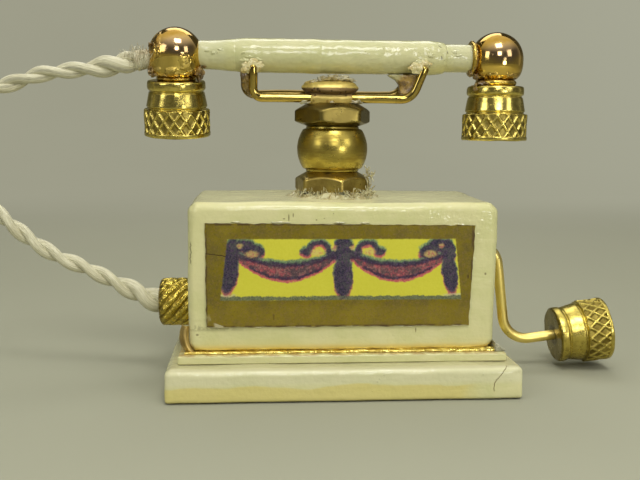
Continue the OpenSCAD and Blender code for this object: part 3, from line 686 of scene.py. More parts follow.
def front_print():
    corners = ((-7.31, 9.13), (6.95, 9.02), (-7.25, 3.63), (6.75, 3.59))

    def move(place):
        u, v = place.x, place.z
        left_up, right_up, left_down, right_down = (Vector((a, 0, b)) for a, b in corners)
        spot = left_down.lerp(right_down, u).lerp(left_up.lerp(right_up, u), v)
        rim = min(u, v, 1 - u, 1 - v)
        fray = ripple(spot, 0.4, 0.05, 4) * (1 if rim < 0.02 else 0)
        spot.x += fray.x
        spot.z += fray.z
        spot.y = place.y + 0.016 * noise.noise(spot * 0.9)
        return spot

    finish = Finish("printed_paper", Specular_IOR_Level=0.12)
    place = finish.place
    for scale, detail, size in ((2.6, 2, 0.22), (9, 1, 0.13)):
        shake = finish.vector("SUBTRACT", finish.noise(scale, detail, 0.6, out="Color"), (0.5, 0.5, 0.5))
        place = finish.vector("ADD", place, finish.scaled(shake, size))
    x, _, z = finish.axes(place)
    side = abs(x + 0.07 + x * x * 0.0037)

    def oval(s, up, middle, wide, high, lean=0.0):
        across = (s - middle[0] - (middle[1] - up) * lean) / wide
        return (1 - (across * across + ((up - middle[1]) / high) ** 2) ** 0.5) * min(wide, high)

    def arch(s, up, middle, radius, thick):
        away = ((s - middle[0]) ** 2 + (up - middle[1]) ** 2) ** 0.5
        return (thick - abs(away - radius)).least(up - middle[1] + 0.1)

    def swag_line(s):
        return 6.94 + (s - 2.95) ** 2 * 0.087

    def swag_foot(s):
        return 6.08 + (s - 2.95) ** 2 * 0.175

    def drawn(drop):
        """How far a place lies inside the dark lines, in millimetres, with them drawn lower."""
        s, up = side, z + drop
        shapes = [
            oval(s, up, (0.0, 6.3), 0.53, 1.18), oval(s, up, (0.0, 5.6), 0.24, 0.5),
            oval(s, up, (5.84, 6.42), 0.44, 1.05, 0.16), oval(s, up, (5.7, 7.6), 0.42, 0.75, 0.1),
            oval(s, up, (0.0, 7.98), 0.5, 0.42), oval(s, up, (0.0, 7.45), 1.0, 0.34),
            oval(s, up, (5.15, 7.95), 0.62, 0.36), oval(s, up, (4.62, 7.62), 0.56, 0.42),
            arch(s, up, (1.3, 7.6), 0.52, 0.16), oval(s, up, (1.95, 7.62), 0.32, 0.24),
            (0.15 - abs(up - swag_line(s))).least(2.45 - abs(s - 2.95)),
            (0.1 - abs(up - swag_foot(s) - 0.13)).least(1.9 - abs(s - 2.95)) - 0.01,
        ]
        whole = shapes[0]
        for shape in shapes[1:]:
            whole = whole.most(shape)
        return whole

    grain = finish.noise(9, 2, 0.7)
    dots = finish.noise(14, 2, 0.8)
    blot = finish.noise(2.3, 3, 0.6)
    swag = (swag_line(side) - z).least(z - swag_foot(side)).least(2.6 - abs(side - 2.95))
    lower_swag = (swag_line(side) - z - 0.08).least(z + 0.1 - swag_foot(side)).least(
        2.6 - abs(side - 2.95)
    )
    yellow = finish.mix(grain, (0.52, 0.49, 0.035), (0.59, 0.56, 0.06))
    red = finish.mix(dots.ramp(0.35, 0.65), (0.40, 0.04, 0.09), (0.52, 0.13, 0.13))
    teal = finish.mix(dots.ramp(0.4, 0.6), (0.045, 0.13, 0.10), (0.16, 0.27, 0.15))
    dark = finish.mix(dots.ramp(0.35, 0.65), (0.008, 0.006, 0.030), (0.055, 0.032, 0.062))
    dark = finish.mix(blot.ramp(0.5, 0.66) * 0.5, dark, (0.075, 0.075, 0.07))
    dark = finish.mix(
        grain.ramp(0.52, 0.66) * 0.6, dark,
        finish.mix(blot, (0.04, 0.08, 0.12), (0.16, 0.04, 0.11)),
    )
    ink = finish.mix(drawn(0.1).ramp(-0.06, 0.05).most(lower_swag.ramp(-0.03, 0.06)) * 0.92, yellow, red)
    ink = finish.mix(drawn(-0.1).ramp(-0.06, 0.06) * 0.85, ink, teal)
    muddy = finish.mix(blot.ramp(0.36, 0.6), (0.40, 0.08, 0.09), (0.13, 0.06, 0.065))
    muddy = finish.mix(dots.ramp(0.42, 0.58) * 0.75, muddy, (0.06, 0.05, 0.055))
    muddy = finish.mix(grain.ramp(0.5, 0.66) * 0.5, muddy, (0.40, 0.20, 0.16))
    muddy = finish.mix(blot.ramp(0.5, 0.62) * 0.4, muddy, (0.05, 0.045, 0.05))
    ink = finish.mix(swag.ramp(-0.02, 0.1), ink, muddy)
    ink = finish.mix(drawn(0.0).ramp(-0.05, 0.09) * (0.7 + grain * 0.4), ink, dark)
    patch = oval(side, z, (4.72, 7.5), 0.36, 0.2).most(oval(side, z, (1.4, 7.6), 0.32, 0.18))
    patch = patch.most(oval(side, z, (5.3, 7.95), 0.16, 0.14)).most(
        oval(side, z, (0.48, 7.84), 0.14, 0.14)
    )
    warm = finish.mix(grain.ramp(0.35, 0.6), (0.50, 0.16, 0.12), (0.55, 0.45, 0.13))
    ink = finish.mix(patch.ramp(-0.06, 0.1) * 0.75, ink, warm)
    rule = abs(z - 5.13).ramp(0.17, 0.09)
    pale = abs(z - 5.28).ramp(0.12, 0.04) * (side - 5.3).ramp(0.0, 0.5)
    ink = finish.mix(pale * 0.5, ink, (0.42, 0.42, 0.30))
    ink = finish.mix(
        rule * 0.9, ink,
        finish.mix(dots.ramp(0.35, 0.65), (0.035, 0.05, 0.05), (0.13, 0.15, 0.09)),
    )
    straight, _, level = finish.axes()
    inset = (8.30 - level).least(level - 5.05)
    inset = inset.least(6.02 + (8.31 - level) * 0.12 - abs(straight + 0.12))
    field = (inset + grain * 0.08).ramp(0.0, 0.08)
    olive = finish.mix(blot.ramp(0.35, 0.7), (0.170, 0.130, 0.009), (0.135, 0.105, 0.020))
    olive = finish.mix(finish.noise(0.7, 3).ramp(0.45, 0.7) * 0.55, olive, (0.225, 0.175, 0.012))
    olive = finish.mix(z.ramp(5.0, 4.4) * 0.35, olive, (0.245, 0.185, 0.02))
    olive = finish.mix(grain.ramp(0.5, 0.65) * 0.35, olive, (0.22, 0.14, 0.05))
    olive = finish.mix(dots.ramp(0.5, 0.72) * 0.5, olive, (0.075, 0.055, 0.02))
    tone = finish.mix(field, olive, ink)
    split = abs(level - 7.46 + (straight + 7.3) * 0.14 - blot * 0.16).ramp(0.03, 0.008)
    split = split * straight.ramp(-6.1, -6.3)
    tick = abs(straight + 3.72).ramp(0.03, 0.01) * abs(level - 4.15).ramp(0.2, 0.12)
    rub = finish.cells(1.3, place=finish.vector("MULTIPLY", finish.place, (2.2, 0, 0.8))).ramp(
        0.16, 0.08,
    )
    rub = rub * straight.ramp(6.3, 6.6) * abs(level - 7.2).ramp(1.3, 0.9)
    tone = finish.mix(split.most(tick).most(rub) * 0.8, tone, (0.045, 0.02, 0.012))
    rim = (level - 3.62).least(9.1 - level).least(straight + 7.28).least(6.86 - straight)
    torn = (straight + level * 0.7).ramp(-3.6, -4.4)
    bare = (rim + grain * 0.1 - torn * 0.3).ramp(0.09, 0.03) * finish.noise(1.1, 2).ramp(0.42, 0.56)
    bare = bare * level.ramp(4.4, 3.8)
    tone = finish.mix(bare * 0.8, tone, (0.46, 0.42, 0.25))
    brown = rim.ramp(0.14, 0.02) * finish.noise(1.7, 2).ramp(0.38, 0.55)
    tone = finish.mix(brown * (1 - bare) * 0.8, tone, (0.06, 0.035, 0.02))
    crease = finish.noise(0.6, 5, 0.65) * 0.05 + grain * 0.004 - split * 0.03
    material = finish.wear(tone, crease, Roughness=0.3 + blot * 0.25)
    sheet = block((0, -4.6, 0), (1, -4.49, 1), 0.004, 0.0125, move)
    made("garland_print", sheet, material, "base", "printed_paper", "front_print")
    clear = glue("squeezed_glue", (0.62, 0.60, 0.38), (0.50, 0.46, 0.24))
    beads = [
        ((x, -4.53, z), (wide, 0.06, 0.045), k, 0.5)
        for k, (x, z, wide) in enumerate(
            [(-5.7, 9.2, 0.26), (-3.4, 9.18, 0.5), (-0.3, 9.17, 0.3), (1.05, 9.15, 0.28),
             (-6.6, 3.62, 0.5), (-4.6, 3.6, 0.3), (-2.2, 3.59, 0.5), (3.4, 3.58, 0.35)]
        )
    ]
    spatter("glue_along_paper", beads, clear, "base", "body_paint")


front_print()


# ---- Cord bead -------------------------------------------------------------------------------
# A turned brass bead with twelve flutes cut in a spiral. The cord goes through it into the
# side of the block, and a drop of glue holds it there.
def rounded(corners, parts=5):
    """A path through (across, along, softness) corners, each cut by a curve that wide."""
    path = []
    for k, (across, along, soft) in enumerate(corners):
        here = Vector((across, along))
        if not soft:
            path.append(here)
            continue
        before, after = Vector(corners[k - 1][:2]), Vector(corners[(k + 1) % len(corners)][:2])
        start = here + (before - here).normalized() * soft
        stop = here + (after - here).normalized() * soft
        for t in (j / parts for j in range(parts + 1)):
            path.append(start * (1 - t) ** 2 + here * (2 * t * (1 - t)) + stop * t * t)
    return path


def finer(path, step):
    """The same path with no stretch longer than step."""
    dense = [path[0]]
    for a, b in zip(path, path[1:]):
        parts = max(1, math.ceil((b - a).length / step))
        dense += [a.lerp(b, k / parts) for k in range(1, parts + 1)]
    return dense


def upright(place, ahead, side):
    """A matrix that stands a turned piece's Z along a direction at a place."""
    z = Vector(ahead).normalized()
    y = z.cross(Vector(side)).normalized()
    return Matrix.Translation(place) @ Matrix((y.cross(z), y, z)).transposed().to_4x4()


def put(shape, where):
    return [where @ Vector(p) for p in shape[0]], shape[1]


def cut_tree(crossed):
    """Cuts a pattern of leaning lines into a turned piece, and marks how deep each point is."""
    graph, size = geometry_tree(
        "knurling" if crossed else "fluting",
        Lines="Float", Lean="Float", Depth="Float", Low="Float", High="Float", Finish="Material",
    )
    place = graph.node("GeometryNodeInputPosition")
    x = graph.node("ShaderNodeSeparateXYZ", {}, {0: place})
    y, z = x.other("Y"), x.other("Z")
    around = y.math("ARCTAN2", x) / (2 * math.pi) * size["Lines"]
    along = z * size["Lean"]
    waves = [abs((around + along).math("FRACT") - 0.5) * 2]
    if crossed:
        waves.append(abs((around - along).math("FRACT") - 0.5) * 2)
        ridge = waves[0].most(waves[1])
        hollow = ridge.ramp(0.9, 0.55)
    else:
        hollow = waves[0].ramp(0.0, 1.0) ** 2.2
    inside = z.ramp(size["Low"], size["Low"] + 0.05 * MM) * z.ramp(
        size["High"], size["High"] - 0.05 * MM,
    )
    hollow = hollow * inside
    flat = graph.vector("MULTIPLY", place, (1, 1, 0))
    inward = graph.vector("NORMALIZE", flat)
    shift = graph.scaled(inward, hollow * size["Depth"] * -1)
    shape = graph.node("GeometryNodeSetPosition", {}, {0: size["Geometry"], "Offset": shift})
    shape = graph.node(
        "GeometryNodeStoreNamedAttribute", {}, {0: shape, "Name": "hollow", "Value": hollow},
    )
    return finish_tree(graph, shape, size["Finish"])


def cord_gland():
    half = [(0.42, 0, 0), (0.6, 0, 0.06), (1.37, 0, 0.36)]
    corners = half + [(a, 1.9, soft) for a, _, soft in reversed(half)]
    profile = finer(rounded(corners, 8), 0.04)
    turn = math.radians(100) / 1.9
    finish, tone, height, gloss = gilt("bead_gilt", (0.70, 0.54, 0.10), (0.36, 0.27, 0.04), 0.16, 0.7)
    hollow = finish.node("ShaderNodeAttribute", {"attribute_name": "hollow"}, out="Fac")
    tone = finish.mix(hollow.ramp(0.3, 0.95) * 0.6, tone, (0.17, 0.11, 0.015))
    x = finish.axes()[0]
    # Painted shade: the bead darkens toward both rounded ends.
    tone = finish.mix((abs(x + 9.1) - 0.62).ramp(0.0, 0.3) * 0.6, tone, (0.13, 0.09, 0.02))
    dents = finish.noise(1.9, 3, 0.6) * 0.34
    material = finish.wear(tone, height + dents, Roughness=gloss + hollow * 0.15)
    where = upright((-8.23, 0, 4.07), (-1, 0, 0), (0, 1, 0))
    bead = made("fluted_bead", turned(profile + profile[:1], 192, twist=-turn), material)
    bead = worked(
        bead, cut_tree(False), where, Lines=12.0, Lean=turn * 12 / (2 * math.pi) / MM, Depth=0.1 * MM,
        Low=0.0, High=1.9 * MM, Finish=material,
    )
    fitted(bead, "base", "gland_gold", "cord_gland")
    amber = glue("cord_glue", (0.55, 0.52, 0.32), (0.36, 0.30, 0.14))
    drops = [((-10.1, -0.2, 4.3), (0.16, 0.6, 0.55), 3), ((-10.12, 0.1, 3.7), (0.12, 0.5, 0.4), 8)]
    spatter("glue_round_cord", drops, amber, "base", "body_paint")


cord_gland()


# ---- Pedestal --------------------------------------------------------------------------------
# Two gilt hexagon nuts with a round bead between them, threaded on a stud that stands in the
# block. They are only pushed on and glued, and a low collar of paint and glue with fine hairs
# lies round the lower nut.
pedestal_x = -0.3


def blended(a, b, width):
    """The smaller of two values, with a soft change from one to the other."""
    share = max(width - abs(a - b), 0) / width
    return min(a, b) - share * share * width / 4


def bend(centre, radius, start, turn, steps=10):
    """Points on a bend in a plane; angles in degrees from its first axis."""
    angles = [math.radians(start + turn * k / steps) for k in range(steps + 1)]
    return [(centre[0] + radius * math.cos(a), centre[1] + radius * math.sin(a)) for a in angles]


def hair_tree(material):
    """Fine curved hairs that stand out all along the line they are given."""
    graph, size = geometry_tree("hairs", Count="Int", Long="Float", Thick="Float", Spread="Float")
    stem = graph.node("GeometryNodeMeshToCurve", {}, {0: size["Geometry"]})
    places = graph.node("GeometryNodeCurveToPoints", {}, {0: stem, "Count": size["Count"]})
    number = graph.node("GeometryNodeInputIndex")

    def chance(low, high, seed):
        settings = {"data_type": "FLOAT_VECTOR"}
        values = {0: low, 1: high, "ID": number, "Seed": seed}
        return graph.node("FunctionNodeRandomValue", settings, values)

    shift = graph.scaled(chance((-1, -1, -1), (1, 1, 1), 1), size["Spread"])
    places = graph.node("GeometryNodeSetPosition", {}, {0: places, "Offset": shift})
    arc = graph.node(
        "GeometryNodeCurvePrimitiveBezierSegment", {},
        {
            "Resolution": 8, "Start": (0, 0, 0), "Start Handle": (0.1, 0.2, 0.3),
            "End Handle": (0.5, 0.1, 0.6), "End": (0.5, 0.4, 1),
        },
    )
    outline = graph.circle(5, size["Thick"] / size["Long"])
    hair = graph.node("GeometryNodeCurveToMesh", {}, {0: arc, 1: outline, "Fill Caps": True})
    long = graph.scaled(chance((0.5, 0.5, 0.5), (1, 1, 1.3), 2), size["Long"])
    lean = chance((-0.9, -0.9, 0), (0.9, 0.9, 6.28), 3)
    values = {0: places, "Instance": hair, "Rotation": lean, "Scale": long}
    hairs = graph.node("GeometryNodeInstanceOnPoints", {}, values)
    return finish_tree(graph, hairs, material)


def hexagon_nut(name, height, turn, material, node):
    flat, face, top, foot = 1.925, 1.42, 0.46, 0.28

    def move(place):
        reach = math.hypot(place.x, place.y)
        if reach < 1.2:
            return place
        angle = math.atan2(place.y, place.x)
        side = (angle + math.pi / 6) % (math.pi / 3) - math.pi / 6
        hexagon = blended(flat / math.cos(side), 2.19, 0.05)
        corner = flat / math.cos(math.pi / 6)
        above = corner - (corner - face) * (place.z - 1.3 + top) / top
        below = corner - (corner - face) * (foot - place.z) / foot
        limit = blended(blended(hexagon, above, 0.09), below, 0.09)
        scale = min(limit, reach) / reach
        return Vector((place.x * scale, place.y * scale, place.z)) + ripple(place, 1.1, 0.012, height)

    profile = finer(rounded([(0.8, 0, 0.05), (2.3, 0, 0), (2.3, 1.3, 0), (0.8, 1.3, 0.05)], 4), 0.05)
    where = Matrix.Translation((pedestal_x, 0, height)) @ Matrix.Rotation(math.radians(turn), 4, "Z")
    made(name, put(turned(profile + profile[:1], 144, move), where), material, "base", "gilt_nut", node)


def pedestal():
    finish, tone, height, gloss = gilt("nut_gilt", (0.50, 0.38, 0.10), (0.22, 0.155, 0.04), 0.24, 0.9)
    # Painted shade: the upper nut is made darker than the lower nut.
    tone = finish.mix(finish.axes()[2].ramp(13.9, 14.2) * 0.85, tone, (0.15, 0.115, 0.03))
    nut_gilt = finish.wear(tone, height, Roughness=gloss)
    hexagon_nut("lower_nut", 10.31, 10, nut_gilt, "pedestal_lower_nut")
    hexagon_nut("upper_nut", 14.15, 38, nut_gilt, "pedestal_upper_nut")
    finish, tone, height, gloss = gilt(
        "pedestal_gilt", (0.44, 0.34, 0.07), (0.23, 0.165, 0.03), 0.18, 0.6, uneven=0.002,
    )
    smear = finish.noise(1.0, 3, 0.6, stretch=(0.5, 0.5, 3.2))
    tone = finish.mix(smear.ramp(0.48, 0.7) * 0.7, tone, (0.22, 0.15, 0.03))
    bead_gilt = finish.wear(
        tone, height + smear * 0.008, Roughness=gloss + 0.05 + smear.ramp(0.45, 0.7) * 0.15,
    )
    ball = bend((0, 1.27), 2, -36, 72, 24)
    corners = [(0.42, 0, 0.03), (1.5, 0, 0.05), (1.5, 0.13, 0.03)]
    path = rounded(corners + [(*ball[0], 0)], 3)[:-1] + [Vector(p) for p in ball[1:-1]]
    path += rounded([(*ball[-1], 0), (1.5, 2.41, 0.03), (1.5, 2.54, 0.05), (0.42, 2.54, 0.03)], 3)[1:]
    shape = turned(path + path[:1], 96, lambda p: p + ripple(p, 1.4, 0.01, 3))
    where = Matrix.Translation((pedestal_x, 0, 11.61))
    made("round_bead", put(shape, where), bead_gilt, "base", "bead_gold", "pedestal_bead")
    foot = rounded(
        [(1.7, 0, 0), (2.8, 0, 0.03), (2.5, 0.08, 0.1), (2.15, 0.32, 0.12), (1.7, 0.14, 0)], 5,
    )

    def splashed(place):
        angle = math.atan2(place.y, place.x)
        high = noise.noise(Vector((math.cos(angle), math.sin(angle), 0)) * 2.6)
        wide = noise.noise(Vector((math.cos(angle), math.sin(angle), 4)) * 3.4)
        reach = Vector((place.x, place.y, 0)) * (1 + 0.09 * wide)
        here = reach + Vector((0, 0, place.z * (1 + 0.9 * high)))
        return here + ripple(place, 0.22, 0.07, 6) * min(1, place.z * 9)

    cream = glue("pedestal_glue", (0.60, 0.57, 0.33), (0.36, 0.30, 0.12))
    ring = put(turned(foot + foot[:1], 120, splashed), Matrix.Translation((pedestal_x, 0, 10.16)))
    made("paint_round_foot", ring, cream, "base", "body_paint")
    root = [(-2.3, -1.5, 10.2), (-0.3, -2.3, 10.2), (1.5, -1.7, 10.2), (1.75, -1.0, 10.4)]
    hairs = line("glue_hairs", root + [(1.75, -1.0, 11.6)])
    hairs = worked(hairs, hair_tree(cream), Count=240, Long=0.4 * MM, Thick=0.024 * MM, Spread=0.2 * MM)
    fitted(hairs, "base", "body_paint")
    finish, tone, height, gloss = gilt("stud_wire", (0.48, 0.46, 0.42), (0.25, 0.22, 0.18), 0.3)
    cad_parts["pedestal_stud"].data.materials[0] = finish.wear(tone, height, Roughness=gloss)


pedestal()


# ---- Cradle ----------------------------------------------------------------------------------
# A turned collar with a domed cap leans on the upper nut, and two gilt wires go through it. Each
# end of a wire is bent up into a horn, and the four horns carry the handset. Dried glue and
# paint cling to the cap and the horns.
def cradle_cup():
    where = Matrix.Translation((-0.45, 0.2, 15.45)) @ Matrix.Rotation(math.radians(8), 4, "X")
    finish, tone, height, gloss = gilt("collar_gilt", (0.88, 0.72, 0.24), (0.56, 0.42, 0.12), 0.5, 0.6)
    z = finish.axes()[2]
    spots = finish.cells(3.3).ramp(0.34, 0.16)
    # The band under the cap's rim: dirt, with painted shade under the cap's overhang.
    band = (z - 15.84).ramp(-0.08, 0.06) * (z - 16.27).ramp(0.05, -0.05)
    tone = finish.mix(z.ramp(15.95, 15.8) * (0.25 + spots * 0.5), tone, (0.34, 0.21, 0.05))
    tone = finish.mix(band * 0.9, tone, (0.15, 0.085, 0.04))
    tone = finish.mix(band * spots * 0.8, tone, (0.05, 0.028, 0.018))
    relief = height + finish.noise(2.2, 3) * 0.08 - band * spots * 0.03
    material = finish.wear(tone, relief, Roughness=gloss + band * 0.1)

    def squared(place):
        reach = math.hypot(place.x, place.y)
        if reach < 0.7:
            return place
        corner = (abs(place.x / reach) ** 3.2 + abs(place.y / reach) ** 3.2) ** (-1 / 3.2)
        wave = 0.09 * noise.noise(place * 1.1) * (1 if place.z < 0.3 else 0)
        here = Vector((place.x * corner * 1.03, place.y * corner, place.z + wave))
        return here + ripple(place, 0.5, 0.03, 2)

    corners = [
        (0.45, 0.02, 0), (1.36, 0.02, 0.08), (1.42, 0.46, 0.06),
        (1.34, 0.56, 0.04), (1.3, 0.66, 0.0), (0.45, 0.66, 0),
    ]
    path = finer(rounded(corners, 4), 0.1)
    made(
        "cradle_collar_ring", put(turned(path + path[:1], 96, squared), where), material, "base",
        "cradle_gold", "cradle_collar",
    )
    corners = [(0, 0.67, 0), (1.47, 0.67, 0.06), (1.67, 0.87, 0.14), (1.47, 1.07, 0.05)]
    turns = [math.radians(a) for a in range(84, -1, -6)]
    dome = [(1.47 * math.sin(a), 1.07 + 0.28 * math.cos(a), 0) for a in turns]
    path = rounded(corners + dome, 6)
    made(
        "cradle_dome", put(turned(path, 72, lambda p: p + ripple(p, 0.9, 0.02, 5)), where),
        material, "base", "cradle_gold", "cradle_cap",
    )
    clear = glue("clear_glue", (0.66, 0.62, 0.42), (0.44, 0.37, 0.18), Transmission_Weight=0.3)
    drops = [
        ((-0.9, -0.62, 16.78), (0.34, 0.2, 0.12), 1, 0.8),
        ((-0.35, -0.6, 16.86), (0.4, 0.22, 0.14), 2, 0.8),
        ((0.25, -0.55, 16.84), (0.36, 0.2, 0.13), 3, 0.8),
        ((-1.3, -0.5, 16.6), (0.3, 0.2, 0.12), 4, 0.8),
        ((0.6, -0.3, 16.72), (0.3, 0.2, 0.12), 5, 0.8),
        ((-0.45, -1.22, 15.42), (0.12, 0.1, 0.12), 7, 0.4),
        ((0.95, -0.9, 15.52), (0.34, 0.16, 0.12), 6, 0.8),
        ((-1.9, -0.8, 15.5), (0.3, 0.16, 0.12), 9, 0.8),
    ]
    spatter("glue_on_cap", drops, clear, "base", "cradle_gold")


def tube(path, radius, sides=20):
    """Round wire along a path in millimetres, with rounded ends."""
    ahead = [(b - a).normalized() for a, b in zip(path, path[1:])]
    ahead = [ahead[0]] + [(a + b).normalized() for a, b in zip(ahead, ahead[1:])] + [ahead[-1]]
    across = ahead[0].orthogonal().normalized()
    rings = []
    for place, way in zip(path, ahead):
        across = (across - way * across.dot(way)).normalized()
        rings.append((place, way, across, radius))
    ends = []
    for at, sign in ((0, -1), (-1, 1)):
        place, way, across, size = rings[at]
        soft = [
            (place + way * sign * size * 0.7 * math.sin(a), way, across, size * math.cos(a))
            for a in (math.radians(t) for t in (25, 50, 72, 90))
        ]
        ends.append(soft)
    rings = ends[0][::-1] + rings + ends[1]
    points = []
    for place, way, across, size in rings:
        up = way.cross(across)
        for k in range(sides):
            angle = 2 * math.pi * k / sides
            points.append(place + (across * math.cos(angle) + up * math.sin(angle)) * max(size, 1e-7))
    faces = []
    for row in range(len(rings) - 1):
        for k in range(sides):
            a, b = row * sides + k, row * sides + (k + 1) % sides
            faces.append((a, b, b + sides, a + sides))
    return points, faces


def cradle_wire(name, node, y, z, tip_y, tip_z, shift, material):
    rise, lean = math.hypot(tip_y - y, tip_z - z), math.atan2(tip_y - y, tip_z - z)
    left, right = -4.25 - shift, 3.5 - shift
    flat = [(left - 0.55, rise), (left - 0.55, rise * 0.66)] + bend((left, 0.55), 0.55, 180, 90)
    flat += [(left + (right - left) * k / 12, 0) for k in range(1, 12)] + bend(
        (right, 0.9), 0.9, -90, 70,
    )
    reach = (rise - flat[-1][1]) / math.sin(math.radians(70))
    flat.append((flat[-1][0] + reach * 0.5 * math.cos(math.radians(70)), (flat[-1][1] + rise) / 2))
    flat.append((flat[-1][0] + reach * 0.5 * math.cos(math.radians(70)), rise))
    path = [Vector((x, y + h * math.sin(lean), z + h * math.cos(lean))) for x, h in flat]
    path = [p + ripple(p, 2.2, 0.05, z) for p in path]
    made(name, tube(path, 0.25), material, "base", "wire_gold", node)


def cradle_wires():
    finish, tone, height, gloss = gilt(
        "wire_gilt", (0.42, 0.31, 0.08), (0.28, 0.185, 0.035), 0.04, 0.7, uneven=0.002,
    )
    y = finish.axes()[1]
    # Painted shade: the rear wire, behind the front one, is darkened.
    tone = finish.mix(y.ramp(0.3, 0.8) * 0.75, tone, (0.16, 0.11, 0.03))
    material = finish.wear(tone, height, Roughness=gloss * 0.4 + y.ramp(0.3, 0.8) * 0.25)
    cradle_wire("front_wire", "cradle_front_wire", -0.744, 15.7, -1.0, 17.35, 0, material)
    cradle_wire("rear_wire", "cradle_rear_wire", 1.038, 15.95, 0.93, 17.25, 0.45, material)
    amber = glue("horn_glue", (0.34, 0.22, 0.05), (0.13, 0.08, 0.025), Transmission_Weight=0.3)
    left = [
        ((-5.2, -0.74, 16.9), (0.32, 0.2, 0.42), 1), ((-5.05, -0.45, 16.45), (0.36, 0.34, 0.42), 2),
        ((-4.9, -0.4, 16.08), (0.36, 0.4, 0.3), 3), ((-5.1, 0.3, 16.6), (0.3, 0.5, 0.45), 5),
    ]
    spatter("glue_on_left_horns", left, amber, "base", "wire_gold")

    def web(place):
        near = [3.45, 3.5, 3.46, 3.24, 2.7]
        far = [3.9, 4.2, 4.38, 4.5, 4.66]
        at = min(place.z * 4, 3.999)
        k = int(at)
        low, high = (edge[k] + (edge[k + 1] - edge[k]) * (at - k) for edge in (near, far))
        x = low + (high - low) * place.x
        here = Vector((x, place.y - 0.35 * place.x, 15.95 + 1.12 * place.z))
        return here + ripple(Vector((x, 0, place.z)), 0.4, 0.05, 7)

    def soft_web(place):
        return web(softened(place, (0, -0.28, 0), (1, 0.35, 1), 0.12))

    mixed = Finish("paint_and_glue", Specular_IOR_Level=0.6)
    x, _, z = mixed.axes()
    spots = mixed.noise(2.6, 3, 0.6)
    toward = (x - 3.25 + (17.05 - z) * 0.9 + spots * 0.8 - 0.4).ramp(0.1, 0.6)
    tint = mixed.mix(spots.ramp(0.35, 0.65), (0.42, 0.27, 0.06), (0.14, 0.085, 0.03))
    tint = mixed.mix(toward, (0.50, 0.46, 0.22), tint)
    mixed.wear(tint, spots * 0.08, Roughness=0.15 + spots * 0.2)
    skin = block((0, -0.28, 0), (1, 0.35, 1), 0.12, 0.08, soft_web)
    made("glue_on_right_horns", skin, mixed.material, "base", "wire_gold")
    cream = glue("tip_paint", (0.56, 0.50, 0.24), (0.42, 0.32, 0.10))
    tips = [
        ((-4.75, -1.06, 17.42), (0.42, 0.12, 0.3), 4, 0.7),
        ((-5.15, -1.0, 17.3), (0.3, 0.14, 0.3), 6, 0.7),
        ((4.35, -1.06, 17.42), (0.45, 0.12, 0.26), 5, 0.7),
        ((4.75, -1.04, 17.62), (0.3, 0.12, 0.2), 8, 0.7),
    ]
    spatter("paint_on_horn_tips", tips, cream, "base", "wire_gold")


cradle_cup()
cradle_wires()


# ---- Handset rod -----------------------------------------------------------------------------
# A thin rod from ball to ball with a thicker sleeve pushed on its middle. Both are painted
# together in cream enamel, which has run and cracked at the sleeve's ends.
handset_up = 18.03


def handset_rod():
    finish, tone, height, gloss = enamel("handset_enamel", (0.8, 2, 2), (0.52, 0.50, 0.265))
    x, y, z = finish.axes()
    # Painted light: the underside is tinted yellower and lighter, like light bounced up from below.
    under = z.ramp(17.9, 17.3) * finish.noise(0.7, 2).ramp(0.25, 0.6)
    tone = finish.mix(under * 0.5, tone, (0.60, 0.53, 0.20))
    tone = finish.mix((abs(x) - 6.0).ramp(0.0, 0.6) * 0.4, tone, (0.50, 0.49, 0.31))
    spots = [(5.62, 18.62, 0.11, 0.035), (5.7, 17.98, 0.045, 0.13), (6.06, 18.3, 0.03, 0.1)]
    for across, up, wide, high in spots:
        away = (((x - across) / wide) ** 2 + ((z - up + (x - across) * 0.6) / high) ** 2) ** 0.5
        tone = finish.mix(away.ramp(1.15, 0.7) * y.ramp(0, -0.3) * 0.8, tone, (0.09, 0.075, 0.04))
    lumps = finish.noise(1.3, 2) * 0.09 + finish.noise(0.9, 2, stretch=(1, 0.4, 0.4)) * 0.07
    material = finish.wear(tone, height * 0.25 + lumps, Roughness=gloss * 1.15)
    along = upright((0, 0, handset_up), (1, 0, 0), (0, 1, 0))

    def move(place):
        run = max(0.0, noise.noise(Vector((place.z * 1.1, 3, 1)))) * 0.04
        return place + ripple(place, 1.5, 0.03, 4) + Vector((place.x, place.y, 0)).normalized() * run

    half, shoulder, drop = 6.05, 1.0, 0.17
    steps = [math.radians(a) for a in range(0, 91, 10)]
    ends = [(0.77 + drop * math.sin(a), shoulder * (1 - math.cos(a))) for a in steps]
    path = [Vector((r, -half + e)) for r, e in ends] + [Vector((r, half - e)) for r, e in reversed(ends)]
    path = finer([Vector((0.75, -half))] + path + [Vector((0.75, half)), Vector((0.75, -half))], 0.2)
    made(
        "painted_grip", put(turned(path, 56, move), along), material, "handset", "grip_paint",
        "handset_grip",
    )
    profile = [
        (0, -7.8), (0.75, -7.8), (0.77, -7.75), (0.775, -7.2), (0.8, -6.8), (0.84, -6.4),
        (0.88, -6.0), (0.89, -5.7),
        (0.8, -5.6), (0.77, -5.5), (0.77, 7.75), (0.75, 7.8), (0, 7.8),
    ]
    path = finer([Vector(p) for p in profile], 0.2)
    made(
        "painted_rod", put(turned(path, 40, move), along), material, "handset", "core_paint",
        "handset_core",
    )
    drops = []
    for k, (x, z, size) in enumerate([
        (-6.52, 18.24, 0.16), (-6.72, 18.1, 0.1), (-6.05, 18.43, 0.1), (-6.98, 18.1, 0.12),
        (-7.3, 18.2, 0.1),
        (-5.2, 17.72, 0.2), (-4.9, 17.62, 0.18), (-5.05, 17.9, 0.14), (-4.55, 17.75, 0.16),
        (-5.3, 18.1, 0.12),
        (4.45, 17.75, 0.18), (4.75, 17.85, 0.14), (5.1, 18.1, 0.16), (6.45, 18.3, 0.12),
        (6.7, 18.15, 0.12),
    ]):
        reach = 0.93 if abs(x) < 5.7 else 0.78
        y = -math.sqrt(reach ** 2 - (z - handset_up) ** 2)
        drops.append(((x, y, z), (size * 1.3, size * 0.5, size * 0.8), k, 0.6))
    spatter("paint_drops", drops, material, "handset", "grip_paint")


handset_rod()


